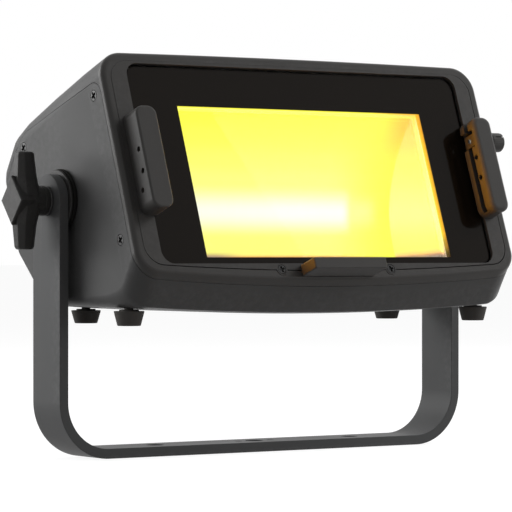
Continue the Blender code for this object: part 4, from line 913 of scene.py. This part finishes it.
def build_discs(where, tag):
    place(lathe(disc(10.5, 175.3, 176.8, 0.4), 64, True), "steel_washer_" + tag,
          "clamp_washer_" + tag, BLACK_STEEL, 32, "yoke_body", where)
    place(lathe(disc(22.2, 162.8, 165.2, 0.7), 96, True), "fibre_disc_" + tag,
          "friction_disc_" + tag, FIBRE, 32, "head", where)
    place(lathe(disc(21.4, 165.5, 167.7, 0.7), 96, True), "arm_spacer_" + tag,
          "yoke_spacer_" + tag, KNOB_PLASTIC, 32, "yoke_body", where)


def build_knob(side, tag):
    """The tee grip with its two wings, its four-sided boss and its hub, and the stud in it."""
    wing = 192.58
    face = 202.9
    halves = (
        (6.8, 9, 10.4, wing - 0.6), (17, 7.6, 7.6, wing - 0.2), (32, 6.3, 5.9, wing),
        (33.3, 5.6, 5.3, wing), (34, 4.7, 4.4, wing),
    )
    stations = [(-z, a, b, c) for z, a, b, c in reversed(halves)] + list(halves)
    knob = ease(loft([grip_ring(z, a, b, c * side) for z, a, b, c in stations]), 0.7, 2, 24)
    tall, deep = 17.25, 14.5
    corners = ((deep, 0), (0, tall), (-deep, 0), (0, -tall))
    boss = [
        [(x * side, a * k, b * k) for a, b in corners]
        for x, k in ((face, 0.94), (face - 0.5, 0.985), (face - 1.1, 1), (wing - 3, 0.84))
    ]
    hub = turned([
        (0, 177.1, 0), (10.5, 177.1, 0.8), (10.5, 180.4, 0.2), (9.9, 180.7, 0.2), (9.9, 181.5, 0.2),
        (10.5, 181.8, 0.2), (10.5, wing, 0), (0, wing, 0),
    ], 64, 3)
    join(knob, loft(boss), moved(hub, facing(side)))
    carve(knob, rod(5.3, 0, 0, 175 * side, 192.9 * side, 40))
    ease(knob, 0.35, 2, 40)
    body = "knob_" + tag
    place(knob, "tee_knob_" + tag, "clamp_knob_" + tag, KNOB_PLASTIC,
          28, body, PIVOT)
    stud = [(0, 192.6, 0), (5, 192.6, 0.5)]
    for i in range(15):
        h = 176.5 - 1.5 * i
        stud += [(4.98, h, 0.05), (4.35, h - 0.75, 0.1)]
    stud += [(5, 153.5, 0), (5, 149.2, 0.5), (0, 149.2, 0)]
    place(turned(stud, 40, 2), "threaded_stud_" + tag, "clamp_stud_" + tag, STEEL,
          32, body, PIVOT @ facing(side))


# Head: one lofted skin, parted along the seam between the side panels and the front and top

STATIONS = (
    # depth, top, bottom, half width, top radius, base radius, bow of the base
    (-3, 148.4, -22.9, 162.5, 18.5, 18.5, 7.3),
    (-11.65, 148.4, -31.1, 162.5, 18.5, 20.5, 7.7),
    (-20, 148.4, -36.2, 162.5, 18.5, 19.5, 6.2),
    (-25, 148.4, -35.3, 162.5, 18.5, 15.5, 6.2),
    (-32, 148.4, -33.05, 162.5, 18.5, 12.5, 6.2),
    (-45, 148, -28.3, 162.5, 18.5, 9.5, 6.2),
    (-72, 147.3, -18.5, 162.5, 18.5, 8, 6.2),
    (-112, 145.2, -3.93, 162.5, 18.5, 8, 6.2),
    (-118, 144.2, -1.75, 162.5, 18.5, 8.3, 6.2),
    (-124, 142.9, 0.84, 162.5, 18.4, 8.8, 6.2),
    (-126.6, 141.6, 3.2, 162.5, 16.9, 9.2, 5.9),
    (-129, 139.9, 6.46, 162.5, 15.5, 9.6, 5.6),
    (-146, 126.9, 39.5, 162.5, 15.5, 14.4, 1.2),
    (-148.2, 123.8, 43.3, 162.1, 15.5, 14.4, 0.5),
    (-149.5, 121.2, 45.8, 161.3, 15.5, 14.4, 0),
    (-150.7, 118.8, 48.3, 160.3, 15.5, 14.4, 0),
    (-151.4, 116.8, 50.3, 159.2, 15.5, 14.4, 0),
    (-151.85, 115.2, 51.8, 158, 15.5, 14.4, 0),
    (HEAD_BACK, 114, 52.8, 157.3, 15.5, 14.4, 0),
)
INNER_DEPTHS = (-149, -146, -129, -124, -112, -72, -32, -20)


def head_section(z, inset=0):
    """The head's outline at a depth, inset all round."""
    row = STATIONS[0] if z > STATIONS[0][0] else STATIONS[-1]
    for near, far in zip(STATIONS, STATIONS[1:]):
        if far[0] <= z <= near[0]:
            share = (near[0] - z) / (near[0] - far[0])
            row = [a + (b - a) * share for a, b in zip(near, far)]
    _, top, bottom, half, top_r, base_r, bow = row
    half -= inset
    top_r -= inset
    base_r = max(base_r - inset, 2)
    foot = (sag(bottom + inset, bow), half - base_r, base_r, base_r)
    head = (sag(top - inset, -CROWN), half - top_r, top_r, top_r)
    return at_depth(bowed(foot, head, 10), z)


def smooth(value, low, high):
    share = min(1, max(0, (value - low) / (high - low)))
    return share * share * (3 - 2 * share)


def parting(points):
    """The front line of the housing, which bends back along both sides."""
    bent = []
    for x, y, z in points:
        share = smooth(abs(x), 148, 159) * smooth(y, -8, 14) * smooth(y, 135, 85)
        bent.append((x, y, z - 2.6 * share))
    return bent


def head_shell(front):
    """The hollow head from the parting line back, closed behind by a flat rear face."""
    rings = [head_section(z, WALL) for z in INNER_DEPTHS]
    rings += [parting(head_section(front, WALL)), parting(head_section(front))]
    rings += [head_section(row[0]) for row in STATIONS[1:]]
    return loft(rings)


def below_seam(shift):
    """A block over the side panels and the base, all that lies under the seam."""
    line = [(4, 119.4)] + arc(-13.9 - shift, 119.4, 10, 0, 88, 14)
    line += [(-112, 132.8), (-116, 131.2), (-126, 124.8), (-170, 89.7)]
    outline = [(z, y - shift) for z, y in line]
    outline = [(4, -90)] + outline + [(-170, -90)]
    return loft([[(x, y, z) for z, y in outline] for x in (-325, 325)])


SIDE_SCREWS = {
    "upper_front": (120.3, -13.3), "upper_rear": (122.5, -115.5), "lower_front": (15.2, -14.2),
}
FEET = (("foot_front", 149.2, -67.6), ("foot_rear", 133, 16.5))


def build_head():
    lower = carve(head_shell(-3.4), below_seam(0.2), how="INTERSECT")
    top = carve(head_shell(RIM_BACK), below_seam(-0.1))
    for shell in (lower, top):
        carve(shell, prism(rounded(-145, 145, 58, 109, 4), -160, -140))
    for side, tag in SIDES:
        for y, z in SIDE_SCREWS.values():
            well = lathe([(0, 160.9), (4.1, 160.9), (4.1, 163), (0, 163)], 48)
            carve(lower, moved(well, shifted(0, y, z) @ facing(side)))
        bore = rod(STUD_BORE, 0, 0, side * 150, side * 166, 40)
        carve(lower, moved(bore, PANEL.inverted() @ PIVOT))
    for shell, name, replaced in (
        (lower, "side_and_base_housing", "lower_housing"),
        (top, "roof_cover", "top_cover"),
    ):
        place(ease(shell, 0.22, 2, 40), name, replaced, HOUSING_PAINT, 40)


def cross_head(radius, top, bottom, tip, size):
    """A turned screw with a cross recess that tapers as it goes down."""
    shank = 1.5
    head = solid(turned([
        (0, top, 0), (radius - 0.25, top - 0.05, 0.2), (radius, top - 0.3, 0.1),
        (radius, bottom, 0), (shank, bottom, 0), (shank, tip, 0.3), (0, tip, 0),
    ], 48, 3))
    arm = 0.23 * size
    for turn in (0, 90):
        rings = []
        for depth, k in ((0.3, 1), (-1.7, 0.8)):
            a, b = 0.68 * size * k, arm * (0.75 + 0.25 * k)
            rings.append(at_depth([(-a, -b), (a, -b), (a, b), (-a, b)], top + depth))
        carve(head, moved(loft(rings), Matrix.Rotation(math.radians(turn + 18), 4, "Z")))
    return ease(head, 0.08, 1, 50)


def build_screws():
    for side, tag in SIDES:
        for spot, (y, z) in SIDE_SCREWS.items():
            name = f"side_screw_{tag}_{spot}"
            place(cross_head(3.75, 162.6, 161.2, 154, 4.2), "cross_" + name, name, BLACK_STEEL,
                  where=PANEL @ shifted(0, y, z) @ facing(side))
        name = "frame_screw_" + tag
        place(cross_head(3.2, 2.6, 1.2, -9.6, 3.5), "cross_" + name, name, BLACK_STEEL,
              where=PANEL @ shifted(side * FRAME_SCREW_X, FRAME_SCREW_Y, 0))


def build_feet():
    for stem, x, y in FEET:
        top = BASE_HEIGHT - GAP + BASE_BOW * math.cos(LEAN) * ((x - 8) / HEAD_HALF) ** 2
        profile = [
            (0, top + 6, 0), (3.1, top + 6, 0), (3.1, top, 0), (6.8, top, 0.2),
            (6.8, top - 0.9, 0.1), (10.6, top - 1, 0.4), (8, 94, 0.8), (2.6, 94, 0.3),
            (2.3, 94.8, 0.2), (0, 94.8, 0),
        ]
        for side, tag in SIDES:
            name = f"{stem}_{tag}"
            place(turned(profile, 64), "rubber_" + name, name, RUBBER,
                  where=shifted(side * x, y, 0))


# Front


def rim_section(z, side, low):
    """The rim's outline at a depth, inset by side all round but by low along its foot."""
    start = HEAD_HALF - CORNER
    foot = (sag(CHIN + low, CHIN_BOW), start, CORNER - side, CORNER - low)
    head = (sag(HEAD_TOP - side, -CROWN), start, CORNER - side, CORNER - side)
    return at_depth(bowed(foot, head), z)


def frame_outline(more=0):
    """The inner frame's outline, which bows along its foot as the rim does."""
    radius = 14.5 + more
    start = 155.5 + more - radius
    foot = (sag(-13.1 - more, 5.3, 155.5), start, radius, radius)
    head = (sag(140.9 + more, -0.5, start), start, radius, radius)
    return bowed(foot, head)


def ears(radius, low, high):
    return [post(radius, s * FRAME_SCREW_X, FRAME_SCREW_Y, low, high, 48) for s in (-1, 1)]


def build_bezel():
    rings = [rim_section(RIM_BACK, 10, 10), parting(rim_section(RIM_BACK, 0, 0))]
    rings.append(rim_section(-2, 0, 0.8))
    edge_deep, edge_wide = 3.35, 3.7
    for i in range(11):
        angle = math.radians(9 * i)
        z = RIM_FACE - edge_deep * (1 - math.sin(angle))
        lift = 0.72 * (z - RIM_BACK) + 1.1 * max(0, z - RIM_FACE + 1) ** 2
        rings.append(rim_section(z, edge_wide * (1 - math.cos(angle)), lift))
    rim = carve(loft(rings), prism(frame_outline(0.42), -9, 9))
    ease(carve(rim, *ears(4.55, -9, 9)), 0.14, 2, 50)
    place(rim, "rounded_rim", "bezel_rim", BEZEL_PLASTIC, 40)
    frame_line = [(x - 0.34, y + 0.2) for x, y in frame_outline()]
    inset = prism(frame_line, FRAME_BACK, FRAME_FACE)
    inset = join(inset, *ears(4.3, FRAME_BACK, FRAME_FACE))
    carve(inset, prism(rounded(-142.9, 142.9, -7.8, 139, 9.5, 14), -9, 9))
    carve(inset, prism(rounded(-145, 145, -9.9, 139.6, 11.6, 14), -9, 0.3))
    for s in (-1, 1):
        x = s * FRAME_SCREW_X
        well = lathe([(0, 0.9), (3.5, 0.9), (3.5, 2.9), (0, 2.9)], 40)
        carve(inset, moved(well, shifted(x, FRAME_SCREW_Y, 0)))
        carve(inset, post(1.8, x, FRAME_SCREW_Y, -9, 9, 24))
    ease(inset, 0.2, 3, 50)
    place(inset, "glass_frame", "bezel_frame", BEZEL_PLASTIC, 40)


def build_glass():
    flange = rounded(-144.7, 144.7, -9.6, 139.3, 11.3, 14)
    raised = rounded(-141.6, 141.6, -6.5, 137.3, 8.2, 14)
    pane = ease(join(prism(flange, -3, -1.8), prism(raised, -2.4, -0.3)), 0.2, 1, 50)
    place(pane, "glass_pane", "front_glass", PANE)
    border = solid(prism(rounded(-141.6, 141.6, -6.9, 137.3, 8.2, 14), -0.28, 0))
    carve(border, prism(rounded(-105, 105.8, -2.4, 109, 0.6, 4), -6, 2))
    # The seat is black print reaching out under the groove round the border, so that the groove
    # shows dark: it stands in for the shade along the opening's inner edge.
    seat = carve(prism(flange, -4.1, -3.3), prism(rounded(-110, 110, -7, 113, 2, 4), -6, -2))
    place(join(border, seat), "black_border", "glass_mask", BLACK_PRINT)
    # A sleeve between pane and bulkhead that carries a painted orange glow.
    sleeve = solid(prism(rounded(-108.2, 108.8, -6.8, 111.9, 1.5, 4), -6.75, -3.05))
    carve(sleeve, prism(rounded(-107, 107, -5.6, 110.7, 0.5, 4), -9, -1))
    place(sleeve, "window_sleeve", None, LINER)
    # A small block at the reflector's upper corner with the painted glow of the reflector's ends.
    corner = ease(box((103.6, 106.6, -12.5), (109.5, 111.4, -9.6)), 0.4, 2, 50)
    place(corner, "corner_cover", None, REFLECTOR_CHEEK)


# Filter holders and the latch


def holder_solid(outline, face, edge, steps=6):
    """A holder from the rim's face out, its front edge rounded. The outline takes an inset."""
    rings = [at_depth(outline(0), 2.9)]
    for i in range(steps + 1):
        angle = math.radians(90 * i / steps)
        inset = edge * (1 - math.cos(angle))
        rings.append(at_depth(outline(inset), face - edge * (1 - math.sin(angle))))
    return solid(loft(rings))


def build_side_holder(side, tag):
    left, right = sorted((side * 136.4, side * 153.2))

    def outline(inset):
        return rounded(left + inset, right - inset, 26.5 + inset, 100.3 - inset, 6.5 - inset, 8)

    holder = holder_solid(outline, 20.2, 3.3 if side > 0 else 1.7)
    ends = sorted((side * 128.4, side * 145.3))
    carve(holder, prism(rounded(ends[0], ends[1], 28.9, 130, 4.5, 8), 7.8, 12.2))
    for y, z in ((42, 10), (54.4, 14.6), (70, 14.6)):
        carve(holder, rod(1.9, y, z, side * 130, side * 158))
    if side > 0:
        carve(holder, box((128.4, 78.3, -3), (151.2, 91.3, 16.2)))
        carve(holder, rod(2.3, LATCH_Y, LATCH_Z, 150, 160))
    ease(holder, 0.35, 2, 40)
    nudged = PANEL @ shifted(0.6 * (1 + side), 0, 0)
    place(holder, "filter_rail_" + tag, "filter_holder_" + tag, HOLDER_PLASTIC,
          40, where=nudged)


def build_bottom_holder():
    def outline(inset):
        radius = max(1.2 - 0.8 * inset, 0.2)
        return rounded(-31 + inset, 31 - inset, -17.6 + inset, -9.2 - inset, radius, 4)

    ledge = carve(holder_solid(outline, 20, 1, 4), box((-27, -12.2, 7.8), (27, 0, 12.2)))
    ease(ledge, 0.25, 2, 40)
    place(ledge, "filter_ledge", "filter_holder_bottom", HOLDER_PLASTIC, 40)


def coil(start, length, turns, radius, wire, steps=90, sides=10):
    """An open coil of round wire along x, which winds back from its start."""
    rings = []
    for i in range(steps + 1):
        angle = 2 * math.pi * turns * i / steps
        outward = Vector((0, math.cos(angle), math.sin(angle)))
        centre = Vector((start - length * i / steps, 0, 0)) + outward * radius
        ring = []
        for k in range(sides):
            a = 2 * math.pi * k / sides
            ring.append(centre + outward * wire * math.cos(a) + Vector((wire * math.sin(a), 0, 0)))
        rings.append(ring)
    return loft(rings)


def build_latch():
    where = PANEL @ shifted(1.2, LATCH_Y, LATCH_Z)
    spot = (-0.6, -0.2)
    block = ease(box((137.6, -5.1, -5.8), (142.6, 4.3, 4.7)), 0.5, 2, 50)
    join(block, rod(2, 0, 0, 141.6, 163))
    carve(block, rod(1.75, *spot, 137, 138.3))
    place(block, "latch_slider", "latch_block", BEZEL_PLASTIC, 32, "latch", where)
    rivet = turned([(0, 0.7, 0), (1.5, 0.6, 0.3), (1.7, -0.6, 0), (0, -0.6, 0)], 32, 3)
    moved(rivet, shifted(137.6, *spot) @ facing(-1))
    place(rivet, "latch_rivet", None, STEEL, 32, "latch", where)
    profile = softened([
        (0, 153.5, 0), (4.5, 153.5, 0.2), (4.5, 155.1, 0.3), (6.5, 155.2, 0.3), (7.1, 155.9, 0.2),
        (7.1, 158, 0), (7.1, 162, 0), (7.1, 165.2, 0.3), (6.3, 166, 0.4), (4.4, 166, 0.3),
        (4, 165.5, 0.3), (0, 165.5, 0),
    ], steps=3)
    pull = solid(lathe(profile, 168, ribs=28, rib_depth=0.12, ribs_beyond=6.5))
    pull.data.transform(shifted(-0.7, -0.7, 0) @ facing(1))
    notches = box((163.7, 0.9, -8), (167, 2.2, 8)), box((157.5, 0.9, 5.7), (167, 1.7, 8))
    carve(pull, rod(2.3, 0, 0, 152, 163.3), *notches)
    place(pull, "knurled_pull", "latch_knob", HOLDER_PLASTIC, 30, "latch", where)
    spring = coil(150.6, 1.4, 2.5, 3.6, 0.3)
    place(spring, "coil_spring", "latch_spring", STEEL, where=where)


# Rear

BUTTON_Y = 71
BUTTON_XS = (23, 36.5, 50, 63.5)
SOCKETS = {
    "power_inlet": (90, 70.8), "power_outlet": (90, 96.2),
    "data_inlet": (121, 96.2), "data_outlet": (121, 70.8),
}


def build_rear():
    panel = solid(prism(rounded(-144.7, 144.7, 58.3, 108.7, 3.7, 8), HEAD_BACK, -147.5))
    join(panel, prism(rounded(-148.3, 148.3, 54.7, 112.3, 4, 8), -148.7, -146.5))
    carve(panel, prism(rounded(-127, -13, 63, 104, 2, 6), -156, -140))
    carve(panel, prism(rounded(21.7, 64.3, 84.2, 101.8, 1, 4), -156, -140))
    carve(panel, *[post(5, x, BUTTON_Y, -156, -140, 40) for x in BUTTON_XS])
    carve(panel, *[post(9.9, x, y, -156, -140, 48) for x, y in SOCKETS.values()])
    ease(panel, 0.3, 2, 50)
    place(panel, "control_panel", "rear_panel", HOUSING_PAINT, 40)
    sink = solid(box((-134, 59.5, -128), (-6, 107.5, -124)))
    fins = 17
    for i in range(fins + 1):
        x = -126 + 110.2 * i / fins
        join(sink, ease(box((x, 64, -151.5), (x + 1.8, 103, -127)), 0.5, 2, 50))
    join(sink, *[box((x, 59.5, -146.2), (x + 3, 107.5, -127)) for x in (-134, -9)])
    place(sink, "finned_sink", "heat_sink", FIN_ALUMINIUM)
    window = solid(prism(rounded(22, 64, 84.5, 101.5, 0.8, 4), -152.2, -145.2))
    join(window, prism(rounded(20, 66, 82.5, 103.5, 1, 4), -146.2, -144.6))
    place(ease(window, 0.2, 2, 50), "display_lens", "display_window", DISPLAY)
    for number, x in enumerate(BUTTON_XS, 1):
        button = turned([
            (0, -139.7, 0), (1.8, -139.7, 0.2), (1.8, -145, 0.2), (5.5, -145, 0.3),
            (5.5, -146.2, 0.3), (4.4, -146.2, 0.2), (4.4, -153.6, 0.8), (2.6, -153.45, 0.8),
            (0, -153.2, 0),
        ], 48)
        name = f"menu_button_{number}"
        place(button, f"soft_key_{number}", name, BUTTON_RUBBER,
              body=name + "_body", where=PANEL @ shifted(x, BUTTON_Y, 0))


def build_socket(name, x, y):
    """A round chassis socket: a keyed one for power, or one with five contacts for data."""
    body = solid(turned([
        (0, -128, 0), (9.3, -128, 0.3), (9.3, -152.3, 0), (11.8, -152.3, 0), (11.8, -154.9, 0.6),
        (8.4, -154.9, 0.3), (7.8, -154.3, 0.2), (7.8, -151.9, 0), (5.2, -151.9, 0),
        (5.2, -154.1, 0.4), (0, -154.1, 0),
    ], 64))
    if name.startswith("power"):
        for turn in (90, 210, 330):
            slot = box((2.6, -0.9, -156), (4, 0.9, -151.5))
            carve(body, moved(slot, Matrix.Rotation(math.radians(turn), 4, "Z")))
        keys = [(10, 60), (170, 60)]
    else:
        for px, py in arc(0, 0, 3.2, 54, 306, 4):
            carve(body, post(0.75, px, py, -156, -151.5, 20))
        keys = [(90, 24)]
    for centre, width in keys:
        first, last = centre - width / 2, centre + width / 2
        key = arc(0, 0, 8.8, first, last, 8) + arc(0, 0, 7.4, last, first, 8)
        carve(body, prism(key, -156, -152.6))
    for px, py in arc(0, 0, 9.85, 45, 225, 1):
        carve(body, post(0.9, px, py, -157, -153.4, 20))
    ease(body, 0.15, 2, 50)
    place(body, "chassis_" + name, name, SOCKET_PLASTIC,
          where=PANEL @ shifted(x, y, 0))


build_yoke()
for side, tag in SIDES:
    build_discs(PIVOT @ facing(side), tag)
    build_knob(side, tag)
build_head()
build_screws()
build_feet()
build_bezel()
build_glass()
for side, tag in SIDES:
    build_side_holder(side, tag)
build_bottom_holder()
build_latch()
build_rear()
for name, (x, y) in SOCKETS.items():
    build_socket(name, x, y)

# The reflector, its ends and the bulkhead take finishes with painted glow.
keep(REFLECTOR_SHEET, "reflector")
keep(REFLECTOR_CHEEK, "reflector_end_left", "reflector_end_right")
keep(BULKHEAD, "front_bulkhead")
keep(LIT_BOARD, "led_board")
keep(CONTROL_BOARD, "control_board")
keep(ALUMINIUM, "heat_spreader", "pivot_block_left", "pivot_block_right")
keep(STEEL, "power_supply")
keep(RUBBER, "glass_gasket")


# Light, floor and camera


def seen_ray(tree):
    """1 on rays that reach the camera straight, mirrored or through glass."""
    kinds = ("Is Camera Ray", "Is Glossy Ray", "Is Transmission Ray")
    straight, mirrored, through = [wire(tree, "ShaderNodeLightPath", output=kind) for kind in kinds]
    return straight.larger(mirrored).larger(through)


def make_world():
    """An even grey studio, white to the rays that are seen."""
    world = bpy.data.worlds.new("studio")
    bpy.context.scene.world = world
    world.use_nodes = True
    tree = world.node_tree
    tree.nodes.clear()
    tone = seen_ray(tree).blend((0.26, 0.26, 0.262), (1, 1, 1))
    background = wire(tree, "ShaderNodeBackground", {"Color": tone, "Strength": 1})
    background.feed(node(tree, "ShaderNodeOutputWorld"), 0)


def make_floor():
    """A pale floor that is white to the camera and keeps the lamp's shadow."""
    bm = bmesh.new()
    bmesh.ops.create_grid(bm, x_segments=8, y_segments=8, size=30)
    floor = solid(bm)
    floor.name = "floor"
    floor.location = (0, 0, -0.0004)
    made, tree, shader = blank_finish("pale_floor", Roughness=0.9, Specular_IOR_Level=0)
    tint(tree, shader, (0.22, 0.22, 0.22), 0.01)
    (seen_ray(tree) * 0.9).feed(shader, "Emission Strength")
    shader.inputs["Emission Color"].default_value = (1, 1, 1, 1)
    floor.data.materials.append(made)


def add_lamp(name, where, target, size, power, mirrored=False, colour=(1, 1, 1), tall=None):
    data = bpy.data.lights.new(name, "AREA")
    data.energy = power
    data.color = colour
    data.size = size
    if tall:
        data.shape = "RECTANGLE"
        data.size_y = tall
    made = bpy.data.objects.new(name, data)
    bpy.context.scene.collection.objects.link(made)
    made.location = where
    made.rotation_euler = (Vector(target) - Vector(where)).to_track_quat("-Z", "Y").to_euler()
    made.visible_camera = False
    made.visible_glossy = mirrored
    return made


make_world()
make_floor()
MIDDLE = (0, 0, 0.15)
add_lamp("left_softbox", (-1.15, 1.4, 0.75), MIDDLE, 1.2, 21.5, True)
add_lamp("overhead_softbox", (-0.3, 0.9, 1.8), MIDDLE, 1.4, 7.5)
add_lamp("right_softbox", (1.9, 0.7, 0.8), MIDDLE, 1.2, 7, True)
add_lamp("front_fill", (1.45, -1, 1.4), (0, 0, 0.2), 1, 21)
add_lamp("ridge_light", (1.15, -1.6, 0.38), (0, 0, 0.12), 1, 4, True, tall=0.35)
add_lamp("low_left_fill", (-1.4, 0.7, 0.1), (0.15, 0, 0.1), 0.25, 2.5)

outward = PANEL.to_3x3() @ Vector((0, 0, 1))
window = METRES @ (PANEL @ Vector((0, 53, 0.6)))
glow = add_lamp("window_glow", window, window + outward, 0.2, 1.25, colour=(1, 0.38, 0), tall=0.1)
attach(glow, "head")

camera = bpy.data.objects.new("camera", bpy.data.cameras.new("camera"))
bpy.context.scene.collection.objects.link(camera)
camera.location = (-1.1807, -1.7350, 0.1430)
camera.rotation_euler = (math.pi / 2, 0, -0.5981)
camera.data.lens = 202.26
camera.data.sensor_width = 36
camera.data.shift_y = -0.0040
bpy.context.scene.camera = camera
bpy.context.scene.view_settings.view_transform = "Standard"
